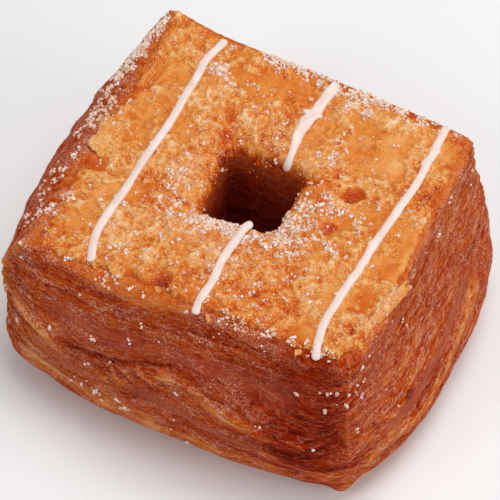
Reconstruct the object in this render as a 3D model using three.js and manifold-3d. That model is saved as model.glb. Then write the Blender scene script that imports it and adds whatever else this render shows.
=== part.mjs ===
// A croissant doughnut: a square ring of fried, layered dough with lines of icing and grains of sugar.
// Millimetres, +Z up. It stands on z = 0, and the origin is under the middle of its box.
import * as THREE from "three";
import { mergeVertices } from "three/addons/utils/BufferGeometryUtils.js";
import Module from "manifold-3d";

// Driving dimensions of the ring
const WIDTH = 72; // of the top face, along X
const DEPTH = 69.4; // of the top face, along Y
const HEIGHT = 42;
const HOLE = { width: 18, depth: 17.1, shift: [-1, 0.35] };
const HOLE_PULL = { at: [-1, -1], by: [2, -2.4] }; // a corner of the hole that is out of square
const MIDDLE = [-1.1, 1.15]; // of the ring, seen from the origin
const RING = (WIDTH - HOLE.width) / 2; // from the hole's wall to the outer wall
const OUTER_SQUARENESS = 22; // a superellipse's exponent: 2 is an ellipse, and more is squarer
const HOLE_SQUARENESS = 7;
const RADIUS = { rim: 3.5, shoulder: 1.8, foot: 8.8, holeFoot: 3.5 };

// The crust is a skin on the top face that ends in a ragged step just inside the shoulder
const CRUST = { thickness: 0.7, margin: 2.4, slope: 0.4, ragged: 0.5, raggedFade: 1, raggedReach: 8 };
const RAGGED_WAVES = [9, 23]; // waves round the ring

// Right, back, left and front: how far each side swells, at what share of the height, how sharply,
// and which share of it is lost at the side's two ends
const SIDES = [
  { axis: [1, 0], swell: 10.9, peak: 0.2, power: 3, ends: 0.6 },
  { axis: [0, 1], swell: 5.3, peak: 0.42, power: 1.4, ends: 0.35 },
  { axis: [-1, 0], swell: 8.8, peak: 0.7, power: 0.93, ends: 0.5 },
  { axis: [0, -1], swell: 9, peak: 0.35, power: 1.4, ends: 0.7 },
];
const TUCK = 0.77; // share of the height below z = 0 where a swell would fade out
const SWELL_REACH = 5; // power of the distance from the hole
const SWELL_END_POWER = 2.7;
const SWELL_TURN = 3; // power with which a swell fades towards the next side
const OUTER_REACH = 4; // power of the distance from the hole, for what happens at the outer wall
const TOP_REACH = 12; // power of the height, for what happens at the top face

// Where the top face's outer edge has slumped, and where it stands out or is worn
const SLUMPS = [
  { angle: 257, rise: -1.5, spread: 9 },
  { angle: 200, rise: -0.7, spread: 14 },
];
const SLUMP = { reach: 6, power: 2, height: 8 };
const TOP_EDGES = [
  { angle: 344, rise: 1.3, spread: 11 },
  { angle: 316, rise: -1.3, spread: 5 },
];
const TOP_EDGE_HEIGHT = 8; // power of the height

// The top face sinks towards the hole, most at the hole's front left corner
const FUNNEL = { rise: -0.5, flat: 1, reach: 4.2, highest: 2, lowest: 14 };
const FUNNEL_WAVES = [
  { angle: 110, rise: -1, spread: 34 },
  { angle: 180, rise: -0.6, spread: 30 },
  { angle: 60, rise: -0.4, spread: 20 },
  { angle: 222, rise: -2, spread: 13 },
];

// How far the top and the underside are pulled out of square at each corner
const CORNERS = [
  { at: [1, 1], top: [0.3, 0.9, -0.7], low: [2.1, -2.2, 0] },
  { at: [-1, 1], top: [-2.2, 3.7, 0.7], low: [-1.4, -0.9, 0] },
  { at: [-1, -1], top: [-0.4, 2.2, -1.8], low: [-0.2, 0, 3.8] },
  { at: [1, -1], top: [3.5, 1.6, 1.4], low: [0.3, 0.9, 0] },
];
// Points of dough drawn out at a corner
const TIPS = [
  { at: [1, -1], height: 3, reach: [2.6, -2.4, 0], spread: 2.6 },
  { at: [-1, -1], height: 8, reach: [-0.5, -0.8, 0], spread: 5 },
  { at: [-1, 1], height: 42, reach: [-0.6, 1.2, 0.8], spread: 6 },
];

// Folds between the layers: a main crease that runs up and down round the ring, and lesser ones with it
const CREASES = [
  { height: 21, depth: 1.4, width: 1.5 },
  { height: 12.6, depth: 0.8, width: 1.3 },
  { height: 30.5, depth: 0.45, width: 1.2 },
];
const CREASE_WAVES = [
  { angle: 272, rise: 4.3, spread: 17 },
  { angle: 305, rise: -2.6, spread: 10 },
  { angle: 346, rise: -5.6, spread: 18 },
  { angle: 60, rise: 1.8, spread: 26 },
  { angle: 128, rise: -2.4, spread: 22 },
  { angle: 190, rise: 2.2, spread: 26 },
];
const LAYERS = { pitch: 3.1, depth: 0.3, sway: 0.8, swayWaves: 5, inHole: 0.5, inHoleReach: 6 };
const CORNER_POWER = 5; // how far the layers at a corner face the same way as the side next to them
const LIFT_POWER = 3; // how near to a corner the underside is lifted
const DENTS = { depth: 0.3, length: 5.5 }; // hollows and blisters all over the top face
// Places where the crust has sunk or come away
const PITS = [
  { x: 19.2, y: 9.5, spread: 4, depth: 0.8 },
  { x: 18.6, y: -3, spread: 3, depth: 0.6 },
  { x: -6.5, y: -28.6, spread: 3.5, depth: 0.8 },
  { x: -32.5, y: -6.5, spread: 3, depth: 0.7 },
];
// Flakes of crust that stand up at the edge of the top face
const FLAKES = [
  { x: -33.6, y: -0.6, length: 8, width: 5.4, turn: 95, tilt: 9 },
  { x: 35.6, y: -17.6, length: 8, width: 3, turn: 76, tilt: -5 },
  { x: 32.4, y: -28, length: 5, width: 3.6, turn: 20, tilt: 8 },
  { x: -33, y: 19, length: 9, width: 3.6, turn: 84, tilt: 7 },
];
const FLAKE = { thickness: 0.8, points: 11, ragged: 0.2, raised: 0.15, seed: 11 };

// Lines of icing along Y, broken by the hole, and the drip where one runs into it
const ICING = { radius: 1, sunk: 0.1, sway: 0.3, swayLength: 7, sides: 8, step: 2.6, capRings: 2 };
// The front end bends aside over the bend's length, and the back end over the hook's
const BEND_LENGTH = 8;
const HOOK_LENGTH = 2.4;
const ICING_LINES = [
  { x: -23.7, from: -30.4, to: 35.8, bend: 2.8, hook: 0 },
  { x: 3.6, from: 11.4, to: 35.4, bend: 0, hook: 0 },
  { x: 3, from: -32.6, to: -7.4, bend: 1.5, hook: 1.5 },
  { x: 29.5, from: -32.2, to: 35.2, bend: 1.6, hook: 0 },
];
const DRIP = { x: 3.6, z: 40, radius: 1, length: 1.4, sunk: 0.3 };

// Clumps of sugar, in patches of the top face
const SUGAR = { smallest: 0.45, largest: 0.95, flattest: 0.7, sunk: 0.15, seed: 7 };
const SUGAR_PATCHES = [
  { x: [-9, 11], y: [-13.5, -9], count: 18 },
  { x: [10.5, 15], y: [-9, 8], count: 9 },
  { x: [-36, -30.5], y: [4, 36], count: 14 },
  { x: [-15, 27], y: [31, 35], count: 14 },
  { x: [-32, 32], y: [-28, 28], count: 12 },
];

const RANDOM = { multiplier: 16807, modulus: 2147483647 };
const SAME_POINT = 1e-4;
const COLUMNS = 72;
const GATHER = 0.5; // how far the columns are drawn towards the ring's corners
const SEGMENTS = { rim: 4, top: 7, shoulder: 3, side: 20, foot: 5, bottom: 2, holeFoot: 2, hole: 6 };

const wasm = await Module();
wasm.setup();

// The ring's section as a closed outline, from the hole's wall (0) to the outer wall (RING)
function section() {
  const { rim, shoulder, foot, holeFoot } = RADIUS;
  const edge = RING - CRUST.margin;
  const shelf = HEIGHT - CRUST.thickness;
  const points = [];
  const arc = (x, y, radius, from, to, segments) => {
    const turn = (to - from) * (Math.PI / 180);
    for (let i = 0; i <= segments; i++) {
      const angle = from * (Math.PI / 180) + (turn * i) / segments;
      points.push(new THREE.Vector2(x + radius * Math.cos(angle), y + radius * Math.sin(angle)));
    }
  };
  const line = (x, y, segments) => {
    const start = points.at(-1);
    for (let i = 1; i <= segments; i++) {
      points.push(start.clone().lerp(new THREE.Vector2(x, y), i / segments));
    }
  };
  arc(rim, HEIGHT - rim, rim, 180, 90, SEGMENTS.rim);
  line(edge, HEIGHT, SEGMENTS.top);
  line(edge + CRUST.slope, shelf, 1);
  arc(RING - shoulder, shelf - shoulder, shoulder, 90, 0, SEGMENTS.shoulder);
  line(RING, foot, SEGMENTS.side);
  points.pop();
  arc(RING - foot, foot, foot, 0, -90, SEGMENTS.foot);
  line(holeFoot, 0, SEGMENTS.bottom);
  points.pop();
  arc(holeFoot, holeFoot, holeFoot, -90, -180, SEGMENTS.holeFoot);
  line(0, HEIGHT - rim, SEGMENTS.hole);
  return points;
}

// The point of a unit square that an angle round the ring meets, with more points near its corners
function onSquare(theta) {
  const turn = theta / (Math.PI / 2);
  const side = Math.round(turn);
  const even = 2 * (turn - side);
  const along = (1 - GATHER) * even + GATHER * Math.sin((even * Math.PI) / 2);
  const [ax, ay] = SIDES[(side + 4) % 4].axis;
  return new THREE.Vector2(ax - ay * along, ay + ax * along);
}

// The same point drawn in to a superellipse of a given size
function onSuperellipse(square, width, depth, power) {
  const sum = Math.abs(square.x) ** power + Math.abs(square.y) ** power;
  const shrink = sum ** (-1 / power);
  return new THREE.Vector2((square.x * width * shrink) / 2, (square.y * depth * shrink) / 2);
}

// A smooth hill, 1 at its middle
function hill(distance, spread) {
  return Math.exp(-((distance / spread) ** 2));
}

// A side's bulge at a share of the height
function bulge(side, share) {
  const above = (share - side.peak) / (1 - side.peak);
  const below = (side.peak - share) / (side.peak + TUCK);
  const away = Math.min(1, share > side.peak ? above : below);
  return side.swell * Math.cos((Math.PI / 2) * away) ** side.power;
}

// A hill of given angle and spread round the ring
function hillRound(theta, wave) {
  const apart = THREE.MathUtils.radToDeg(theta) - wave.angle;
  return hill(THREE.MathUtils.euclideanModulo(apart + 180, 360) - 180, wave.spread);
}

// The sum of such hills at an angle round the ring
function sumOfWaves(theta, waves) {
  return waves.reduce((rise, wave) => rise + wave.rise * hillRound(theta, wave), 0);
}

// How far the top face has slumped at a distance from the outer wall
function slump(theta, fromWall) {
  return sumOfWaves(theta, SLUMPS) * Math.max(0, 1 - fromWall / SLUMP.reach) ** SLUMP.power;
}

// How far the dough has sunk at a distance from the hole
function funnel(theta, fromHole, height) {
  const near = hill(Math.max(0, fromHole - FUNNEL.flat), FUNNEL.reach);
  const high = THREE.MathUtils.smoothstep(height, HEIGHT - FUNNEL.lowest, HEIGHT - FUNNEL.highest);
  return (FUNNEL.rise + sumOfWaves(theta, FUNNEL_WAVES)) * near * high;
}

// How far the layers stand out of the side's even surface
function layerRelief(theta, height) {
  const sway = LAYERS.sway * Math.sin(LAYERS.swayWaves * theta);
  const belowTop = THREE.MathUtils.smoothstep(HEIGHT - height, RADIUS.shoulder, 3 * RADIUS.shoulder);
  let relief = LAYERS.depth * belowTop * Math.sin((2 * Math.PI * height) / LAYERS.pitch + sway);
  for (const crease of CREASES) {
    relief -= crease.depth * hill(height - crease.height, crease.width);
  }
  return relief;
}

// The top face's own unevenness
function dent(x, y) {
  const { depth, length } = DENTS;
  let rise = depth * (Math.sin(x / length + 1) * Math.sin(y / length) + Math.sin((x + 2 * y) / (2 * length)));
  for (const pit of PITS) rise -= pit.depth * hill(Math.hypot(x - pit.x, y - pit.y), pit.spread);
  return rise;
}

// A point of the dough: an angle round the ring, a share of the way out from the hole, and a height
function doughPoint(theta, out, height) {
  const square = onSquare(theta);
  const outer = onSuperellipse(square, WIDTH, DEPTH, OUTER_SQUARENESS);
  const hole = onSuperellipse(square, HOLE.width, HOLE.depth, HOLE_SQUARENESS);
  hole.add(new THREE.Vector2(...HOLE.shift));
  const pulled = ((1 + HOLE_PULL.at[0] * square.x) * (1 + HOLE_PULL.at[1] * square.y)) / 4;
  hole.addScaledVector(new THREE.Vector2(...HOLE_PULL.by), pulled);
  const waves = RAGGED_WAVES.reduce((sum, count) => sum + Math.sin(count * theta), 0);
  const ragged = CRUST.ragged * waves * hill(height - HEIGHT, CRUST.raggedFade);
  const plan = hole.lerp(outer, out + (ragged / RING) * out ** CRUST.raggedReach);
  const share = THREE.MathUtils.clamp(height / HEIGHT, 0, 1);
  const point = new THREE.Vector3(plan.x, plan.y, height);
  const u = plan.x / (WIDTH / 2);
  const v = plan.y / (DEPTH / 2);

  // The sides swell
  for (const side of SIDES) {
    const [ax, ay] = side.axis;
    const towards = Math.max(0, square.x * ax + square.y * ay) ** SWELL_TURN;
    const along = Math.abs(square.x * ay + square.y * ax);
    const kept = 1 - side.ends * along ** SWELL_END_POWER;
    const grow = bulge(side, share) * out ** SWELL_REACH * towards * kept;
    point.x += ax * grow;
    point.y += ay * grow;
  }

  // The layers run up and down with the main crease, and open a little into the hole
  const atWall = out ** OUTER_REACH;
  const outward = new THREE.Vector2(...square.toArray().map((c) => c * Math.abs(c) ** CORNER_POWER));
  outward.setLength(1);
  const relief = layerRelief(theta, height) * (atWall - LAYERS.inHole * (1 - out) ** LAYERS.inHoleReach);
  const topEdge = sumOfWaves(theta, TOP_EDGES) * atWall * share ** TOP_EDGE_HEIGHT;
  point.x += outward.x * (relief + topEdge);
  point.y += outward.y * (relief + topEdge);
  const main = CREASES[0].height;
  const carried = height < main ? height / main : (HEIGHT - height) / (HEIGHT - main);
  point.z += sumOfWaves(theta, CREASE_WAVES) * carried * atWall;
  point.z += slump(theta, (1 - out) * RING) * share ** SLUMP.height + funnel(theta, out * RING, height);

  // The corners are pulled out of square, and three of them are drawn out to a point
  for (const { at, top, low } of CORNERS) {
    const weight = ((1 + at[0] * u) * (1 + at[1] * v)) / 4;
    const lifted = (Math.max(0, at[0] * u) * Math.max(0, at[1] * v)) ** LIFT_POWER;
    point.x += weight * (top[0] * share + low[0] * (1 - share));
    point.y += weight * (top[1] * share + low[1] * (1 - share));
    point.z += weight * top[2] * share + lifted * low[2] * (1 - share);
  }
  for (const { at, height: middle, reach, spread } of TIPS) {
    const corner = onSuperellipse(new THREE.Vector2(...at), WIDTH, DEPTH, OUTER_SQUARENESS);
    const drawn = hill(outer.distanceTo(corner), spread) * hill(height - middle, spread) * atWall;
    point.addScaledVector(new THREE.Vector3(...reach), drawn);
  }

  point.z += dent(point.x, point.y) * share ** TOP_REACH;
  return point;
}

// The ring: the section swept once round, so that its faces point out, then moved to where the dough is
function doughGeometry() {
  const profile = section().reverse().map((point) => new THREE.Vector2(1 + point.x / RING, point.y));
  const geometry = new THREE.LatheGeometry(profile, COLUMNS);
  const places = geometry.getAttribute("position");
  for (let i = 0; i < places.count; i++) {
    const theta = Math.atan2(places.getX(i), places.getZ(i));
    const out = Math.hypot(places.getX(i), places.getZ(i)) - 1;
    places.setXYZ(i, ...doughPoint(theta, out, places.getY(i)));
  }
  return geometry;
}

// A closed geometry as a solid that can be joined
function solid(geometry) {
  const bare = new THREE.BufferGeometry();
  bare.setAttribute("position", geometry.getAttribute("position"));
  bare.setIndex(geometry.getIndex());
  const merged = mergeVertices(bare, SAME_POINT);
  const corners = [];
  for (let i = 0; i < merged.index.count; i += 3) {
    const triangle = [0, 1, 2].map((k) => merged.index.getX(i + k));
    if (new Set(triangle).size === 3) corners.push(...triangle);
  }
  const vertProperties = merged.getAttribute("position").array;
  return new wasm.Manifold(new wasm.Mesh({ numProp: 3, vertProperties, triVerts: new Uint32Array(corners) }));
}

// A solid as a geometry
function geometryOf(body) {
  const mesh = body.getMesh();
  const geometry = new THREE.BufferGeometry();
  geometry.setAttribute("position", new THREE.BufferAttribute(mesh.vertProperties, 3));
  geometry.setIndex(new THREE.BufferAttribute(mesh.triVerts, 1));
  geometry.computeVertexNormals();
  return geometry;
}

// The dough's height under a point of the plan
function heightUnder(dough, x, y) {
  const above = new THREE.Vector3(x, y, 2 * HEIGHT);
  const ray = new THREE.Raycaster(above, new THREE.Vector3(0, 0, -1));
  return ray.intersectObject(dough)[0].point.z;
}

// A bead of icing laid along Y over the dough
function icingBead(dough, line) {
  const { radius, sunk, sway, swayLength, sides, step, capRings } = ICING;
  const length = line.to - line.from - 2 * radius;
  const bead = new THREE.CapsuleGeometry(radius, length, capRings, sides, Math.round(length / step));
  bead.translate(line.x, (line.from + line.to) / 2, 0);
  const places = bead.getAttribute("position");
  for (let i = 0; i < places.count; i++) {
    const y = places.getY(i);
    const bend = line.bend * THREE.MathUtils.clamp((line.from + BEND_LENGTH - y) / BEND_LENGTH, 0, 1) ** 2;
    const hook = line.hook * THREE.MathUtils.clamp((y - line.to + HOOK_LENGTH) / HOOK_LENGTH, 0, 1) ** 2;
    const shift = bend + hook + sway * Math.sin(y / swayLength + line.x);
    const under = heightUnder(dough, line.x + shift, y);
    places.setXYZ(i, places.getX(i) + shift, y, places.getZ(i) + under - sunk);
  }
  return bead;
}

// Icing that ran down the hole's back wall
function icingDrip(dough) {
  const inHole = new THREE.Vector3(DRIP.x, 0, DRIP.z);
  const wall = new THREE.Raycaster(inHole, new THREE.Vector3(0, 1, 0)).intersectObject(dough)[0].point;
  const drip = new THREE.CapsuleGeometry(DRIP.radius, DRIP.length, ICING.capRings, ICING.sides);
  drip.rotateX(Math.PI / 2);
  drip.translate(DRIP.x, wall.y + DRIP.sunk, DRIP.z);
  return drip;
}

// Numbers from 0 to 1 that come out the same each time
function seededRandom(seed) {
  let state = seed;
  return () => {
    state = (state * RANDOM.multiplier) % RANDOM.modulus;
    return state / RANDOM.modulus;
  };
}

// Ragged plates of crust that lie tilted on the dough
function crustFlakes(dough) {
  const random = seededRandom(FLAKE.seed);
  return FLAKES.map(({ x, y, length, width, turn, tilt }) => {
    const outline = new THREE.Shape();
    for (let i = 0; i < FLAKE.points; i++) {
      const angle = (2 * Math.PI * i) / FLAKE.points;
      const reach = 0.5 - FLAKE.ragged * random();
      outline[i ? "lineTo" : "moveTo"](length * reach * Math.cos(angle), width * reach * Math.sin(angle));
    }
    const flake = new THREE.ExtrudeGeometry(outline, { depth: FLAKE.thickness, bevelEnabled: false });
    flake.rotateX(THREE.MathUtils.degToRad(tilt));
    flake.rotateZ(THREE.MathUtils.degToRad(turn));
    flake.translate(x, y, heightUnder(dough, x, y) + FLAKE.raised - FLAKE.thickness / 2);
    return flake;
  });
}

// Clumps of sugar that lie on the dough, each turned its own way
function sugarClumps(dough) {
  const random = seededRandom(SUGAR.seed);
  const between = (low, high) => low + (high - low) * random();
  const clumps = [];
  for (const { x, y, count } of SUGAR_PATCHES) {
    for (let i = 0; i < count; i++) {
      const size = between(SUGAR.smallest, SUGAR.largest);
      const clump = new THREE.IcosahedronGeometry(size, 0);
      clump.scale(1, between(SUGAR.flattest, 1), between(SUGAR.flattest, 1));
      clump.rotateX(between(0, Math.PI));
      clump.rotateZ(between(0, Math.PI));
      const place = [between(...x), between(...y)];
      clump.translate(...place, heightUnder(dough, ...place) - SUGAR.sunk);
      clumps.push(clump);
    }
  }
  return clumps;
}

const crustMaterial = new THREE.MeshStandardMaterial({ color: 0xb8672a, roughness: 0.55, metalness: 0 });
const doughShape = new THREE.Mesh(doughGeometry(), crustMaterial);
const toppings = [
  ...ICING_LINES.map((line) => icingBead(doughShape, line)),
  icingDrip(doughShape),
  ...crustFlakes(doughShape),
  ...sugarClumps(doughShape),
];
let whole = solid(doughShape.geometry);
for (const topping of toppings) whole = whole.add(solid(topping));

const pastry = new THREE.Mesh(geometryOf(whole), crustMaterial);
pastry.name = "pastry";
pastry.position.set(...MIDDLE, 0);
const croissantDoughnut = new THREE.Group();
croissantDoughnut.add(pastry);

export default croissantDoughnut;
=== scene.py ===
# The looks of a croissant doughnut: layered dough, its crust, lines of icing, loose flakes and sugar.
# Sizes are millimetres from the ring's middle on the floor, until a mesh is made in metres.
import itertools

import bpy
import numpy as np
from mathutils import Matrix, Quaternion, Vector
from mathutils.bvhtree import BVHTree


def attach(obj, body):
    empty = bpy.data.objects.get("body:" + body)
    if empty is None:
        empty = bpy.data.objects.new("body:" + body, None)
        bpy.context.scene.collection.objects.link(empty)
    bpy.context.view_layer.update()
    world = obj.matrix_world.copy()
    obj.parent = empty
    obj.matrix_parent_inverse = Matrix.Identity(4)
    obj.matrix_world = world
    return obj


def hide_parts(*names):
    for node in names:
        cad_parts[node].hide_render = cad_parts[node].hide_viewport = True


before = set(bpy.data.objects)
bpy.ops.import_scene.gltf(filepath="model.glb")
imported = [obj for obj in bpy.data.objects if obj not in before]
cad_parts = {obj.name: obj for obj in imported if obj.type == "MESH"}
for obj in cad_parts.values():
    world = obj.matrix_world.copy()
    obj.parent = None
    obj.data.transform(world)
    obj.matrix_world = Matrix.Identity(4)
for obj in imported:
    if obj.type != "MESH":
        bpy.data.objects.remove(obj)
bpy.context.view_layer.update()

# The ring's driving dimensions, as in the solid
MM = 0.001
WIDTH, DEPTH, HEIGHT = 72, 69.4, 42
OUTER_SIZE = np.array([WIDTH, DEPTH])
HOLE_SIZE = np.array([18, 17.1])
HOLE_SHIFT = np.array([-1, 0.35])
HOLE_PULL = np.array([2.0, -2.4])
MIDDLE = np.array([-1.1, 1.15, 0])
RING = (WIDTH - HOLE_SIZE[0]) / 2
OUTER_SQUARENESS, HOLE_SQUARENESS = 22, 7
RIM, SHOULDER, FOOT, HOLE_FOOT = 3.5, 1.8, 8.8, 3.5
CRUST_THICKNESS = 0.7
GATHER = 0.5

# Right, back, left and front: axis, swell, its share of the height, its power and what its ends lose
SIDES = [
    ((1, 0), 10.9, 0.2, 3, 0.6), ((0, 1), 5.3, 0.42, 1.4, 0.35),
    ((-1, 0), 8.8, 0.7, 0.93, 0.5), ((0, -1), 9, 0.35, 1.4, 0.7),
]
TUCK = 0.77
SWELL_REACH, SWELL_POWER, SWELL_END_POWER = 5, 3, 2.7
# How quickly things fade from the wall inwards, from the top edge down, and from the top face down
WALL_POWER, EDGE_POWER, DENT_POWER = 4, 8, 12
CORNER_POWER, OUTWARD_POWER = 3, 5
HOLE_RELIEF, HOLE_POWER = 0.5, 6
# Corner, pull of the top and pull of the underside
CORNERS = [
    ((1, 1), (0.3, 0.9, -0.7), (2.1, -2.2, 0)), ((-1, 1), (-2.2, 3.7, 0.7), (-1.4, -0.9, 0)),
    ((-1, -1), (-0.4, 2.2, -1.8), (-0.2, 0, 3.8)), ((1, -1), (3.5, 1.6, 1.4), (0.3, 0.9, 0)),
]
# Corner, height, reach and spread of each point of dough that is drawn out
TIPS = [
    ((1, -1), 3, (3.3, -3.1, -0.6), 2.3),
    ((-1, -1), 8, (-0.5, -0.8, 0), 5),
    ((-1, 1), 42, (-0.6, 1.2, 0.8), 6),
]

# Height, depth, and width above and below of each fold between the layers
CREASES = [(21, 1.1, 0.9, 1.7), (12.6, 0.7, 0.8, 1.5), (30.5, 0.3, 0.8, 1.3)]
CREASE_DEPTH, CREASE_LIMIT = 0.5, 1.2
# How far the layers sag over the main fold, where, and the spread
SAG, SAG_HEIGHT, SAG_SPREAD = 0.5, 22.6, 1.5
# Changes round the ring, each with its angle in degrees, change and spread: the folds' rise and depth
CREASE_WAVES = [
    (272, 4.3, 17), (305, -2.6, 10), (346, -5.6, 18), (60, 1.8, 26), (128, -2.4, 22), (190, 2.2, 26),
]
CREASE_DEPTH_WAVES = [
    (240, -0.3, 10), (270, -0.4, 12), (300, -0.3, 12), (350, -0.3, 24), (110, 0.4, 30), (190, 0.3, 30),
]
# How light or dark, lumpy, drawn out into strands, flat and vivid the layers are
TONE_WAVES = [(303, -0.17, 14), (350, -0.03, 30), (80, 0.04, 40)]
LUMP_WAVES = [(185, 0.35, 34)]
STRAND_WAVES = [(303, 1, 12), (258, 0.5, 14), (350, 0.9, 26), (85, 0.7, 25), (160, 0.6, 20)]
CALM_WAVES = [(304, 0.6, 11), (344, 0.3, 6), (258, 0.12, 18)]
VIVID_WAVES = [(350, 1.6, 36)]
# How far the crust's own skin runs down the shoulder
SKIN_WAVES = [(258, 2, 9), (285, -0.9, 11), (303, -1.2, 10), (318, -1.2, 6), (180, -0.9, 40), (90, 0.5, 40)]
# Where the top's outer edge has slumped, and where it stands out or is worn
SLUMPS = [(257, 1.5, 9), (200, 0.7, 14)]
SLUMP_REACH = 6
TOP_EDGES = [(344, 1.3, 11), (316, -1.3, 5)]
# How far the crust's edge keeps from the outer wall, how much lighter that edge is, and the light in the hole
CRUST_WAVES = [
    (256, 1.7, 9), (264, 1.2, 3), (285, -0.2, 8), (0, -0.4, 30), (352, 0.7, 2.5), (10, 0.6, 3),
    (337, 0.5, 2.5), (344, -0.5, 9), (165, 0.7, 20), (205, 1, 14), (135, -1.2, 5), (225, -0.8, 5),
    (316, 0.6, 6), (45, -0.5, 5),
]
EDGE_LIGHT = [(345, 0.26, 18), (5, 0.12, 8), (80, -0.1, 30), (285, -0.06, 16)]
CORE_LIGHT = [(185, 0.05, 34)]
# How the crust sinks towards the hole
FUNNEL_WAVES = [(110, 1, 34), (180, 0.6, 30), (60, 0.4, 20), (222, 2, 13)]
FUNNEL_DEPTH, FUNNEL_REACH = 0.5, 4.2

# Rolls and folds of dough: the places that each runs through, as degrees round the ring and height,
# how far it stands out, its spread above and below, how golden it is and how smooth. A golden share
# below zero darkens the place, mostly as painted shade in folds and hollows, and smooth places get painted
# oily shine.
RIDGES = [
    ([(227, 26.5), (237, 24), (241, 22.4), (248, 19.4)], 0.9, 1.5, 2, 0.8, 0),
    ([(233, 20), (238.5, 18.2), (249, 17.5), (254, 18.4)], 0.3, 0.8, 0.8, 0, 1),
    ([(245, 22.2), (254.5, 23.3), (260.5, 23.8), (267, 25.7), (273, 27.8)], -1.1, 0.4, 1, -0.6, 0),
    ([(238, 30), (250, 28.2), (262, 28.6), (280, 30), (300, 31)], 0, 2.6, 2.2, -0.15, 0.45),
    ([(253, 21.8), (256, 18.6), (260, 16.6)], 0.9, 0.5, 0.3, 0.6, 0),
    ([(255, 23), (257, 22.4), (260.5, 19.1), (265, 17.4)], 1, 0.5, 0.3, 0.7, 0),
    ([(257.5, 23.8), (263, 20.5), (268, 19)], 0.9, 0.5, 0.3, 0.6, 0),
    ([(261, 24.4), (266, 22), (272, 20.2)], 0.8, 0.5, 0.3, 0.5, 0),
    ([(265, 25.2), (271, 24), (277, 22.6), (282, 20.9), (288, 19.8), (295, 19.4)], 0.9, 1.5, 2, 1.1, 0),
    ([(261, 18.4), (268, 17.5), (274.5, 16.3), (281, 15.1), (287.5, 14.7), (293, 15.2)],
     0.2, 0.8, 0.9, -0.05, 1),
    ([(287, 20.6), (294, 18.9), (298, 18.6), (303, 19.1), (308.5, 21.4), (315, 23.9)],
     0.8, 1.5, 0.35, 0.35, 0),
    ([(288, 18), (294, 17), (298, 16.8), (306, 18.6), (313, 21)], -0.4, 0.5, 1.3, -0.2, 0),
    ([(232, 10.5), (246, 12.1), (262, 10.5), (279, 9.5), (296, 9.6), (313, 10.4)], -0.3, 1.3, 2.6, 0.75, 0),
    ([(328, 17), (344.5, 17.7), (352, 17.7), (360, 17.5), (367.5, 18.6), (380, 20.4)], -0.1, 1.3, 1.1, 0, 1),
    ([(342, 21.2), (353.5, 21), (361, 21.6), (368, 21.4), (379, 22.8)], 0.3, 0.9, 0.8, 0.7, 0),
    ([(368, 17.2), (376, 16.6), (384, 17.2), (394, 18.6)], -1.2, 1.5, 1.5, 0, 0.2),
    ([(319, 12.8), (337.5, 13.7), (349, 13), (362, 14), (371, 15.2), (384, 16.4)], 0.4, 1.2, 1.9, 1, 0),
    ([(318, 8), (335, 6), (352, 7.2), (370, 8.4)], -0.3, 1.8, 1.6, 0.7, 0),
    ([(335, 26.4), (348, 25.2), (360, 25.6)], 0.2, 0.8, 0.6, 0.5, 0),
    ([(30, 22.5), (50, 20), (72, 21.5), (92, 19), (108, 20.4)], 0.7, 1.2, 0.5, 0.6, 0.1),
    ([(34, 19.4), (52, 17.2), (72, 18.4), (94, 16.2)], 0.1, 0.7, 0.7, 0, 1),
    ([(96, 24), (112, 21.4), (128, 22.6), (140, 20.6)], 0.7, 1.1, 0.5, 0.7, 0),
    ([(60, 11), (85, 9.6), (110, 11), (136, 9.4)], 0.4, 1.4, 1.4, 0.7, 0),
    ([(142, 21), (158, 18.8), (176, 20.2), (196, 18.4)], 0.7, 1.2, 0.5, 0.7, 0.1),
    ([(150, 16.4), (166, 15.2), (184, 16.2)], 0.1, 0.7, 0.7, 0, 1),
    ([(172, 25.2), (188, 23.6), (206, 26), (219, 25.2)], 0.7, 1.1, 0.5, 0.6, 0),
    ([(150, 9), (175, 10.4), (200, 9.4), (222, 11)], 0.4, 1.4, 1.4, 0.7, 0),
]
RIDGE_FADE, RIDGE_STEPS, RIDGE_BLUR, FLOW_REACH = 5, 60, 9, 4

# Lighter and darker places of the sides: angle, height, change, spread in degrees and spread in height
TONE_PATCHES = [
    (236, 16, 0.17, 8, 8), (254, 13, 0.09, 7, 3.5), (279, 27, -0.1, 10, 3), (266, 17.5, -0.1, 7, 3),
    (298, 19, -0.09, 13, 10), (309, 28, -0.1, 5, 5), (283, 6, 0.05, 12, 3), (315, 5, 0.2, 4, 5),
    (20, 34, 0.08, 15, 6), (350, 12, -0.08, 15, 8),
]
# The upright corners: angle, how far the edge stands out, its spread in degrees, and how far its layers do
UPRIGHTS = [(222, 0.7, 4, 2.2), (315.6, 0.75, 1.5, 0.2), (45, 0.4, 2.5, 0.8), (135, 0.8, 2.6, 1)]
UPRIGHT_FOOT = (12, 22)
# Notches between the layers there
NOTCH_PITCH, NOTCH_DEPTH, NOTCH_REACH, NOTCH_SWAY = 3.7, 0.4, 2.4, 1.2

# Unevenness of the sides: size along the layers, size across them and seed
SIDE_NOISE = {
    "sway": (17, 9, 3), "ripple": (5, 3, 4), "short_strand": (2.2, 0.8, 14), "long_strand": (6, 1, 19),
    "fibre": (1, 0.55, 17), "lump": (4.5, 5, 18), "crumb": (1, 0.7, 13), "gold": (2.8, 1.3, 20),
    "broad_gold": (9, 12, 28), "notch": (20, 4, 27), "patch": (16, 3.4, 15),
}
SWAY, RIPPLE, RIPPLE_LOSS, FIBRE_LOSS, LUMPS = 1.3, 0.4, 0.7, 0.5, 0.22
# The heights between which strands become shorter, and by how much
STRAND_HEIGHTS, STRAND_LOSS = (24, 34), 0.65
# Thick and thin sheets of dough: thickness, reach and seed
THICK_SHEETS, THIN_SHEETS = (2.3, 9, 11), (0.85, 6, 16)
SHEET_SWAY, SHEET_SWAY_LENGTH, SHEETS_APART = 0.6, 13, 5.37
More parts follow.
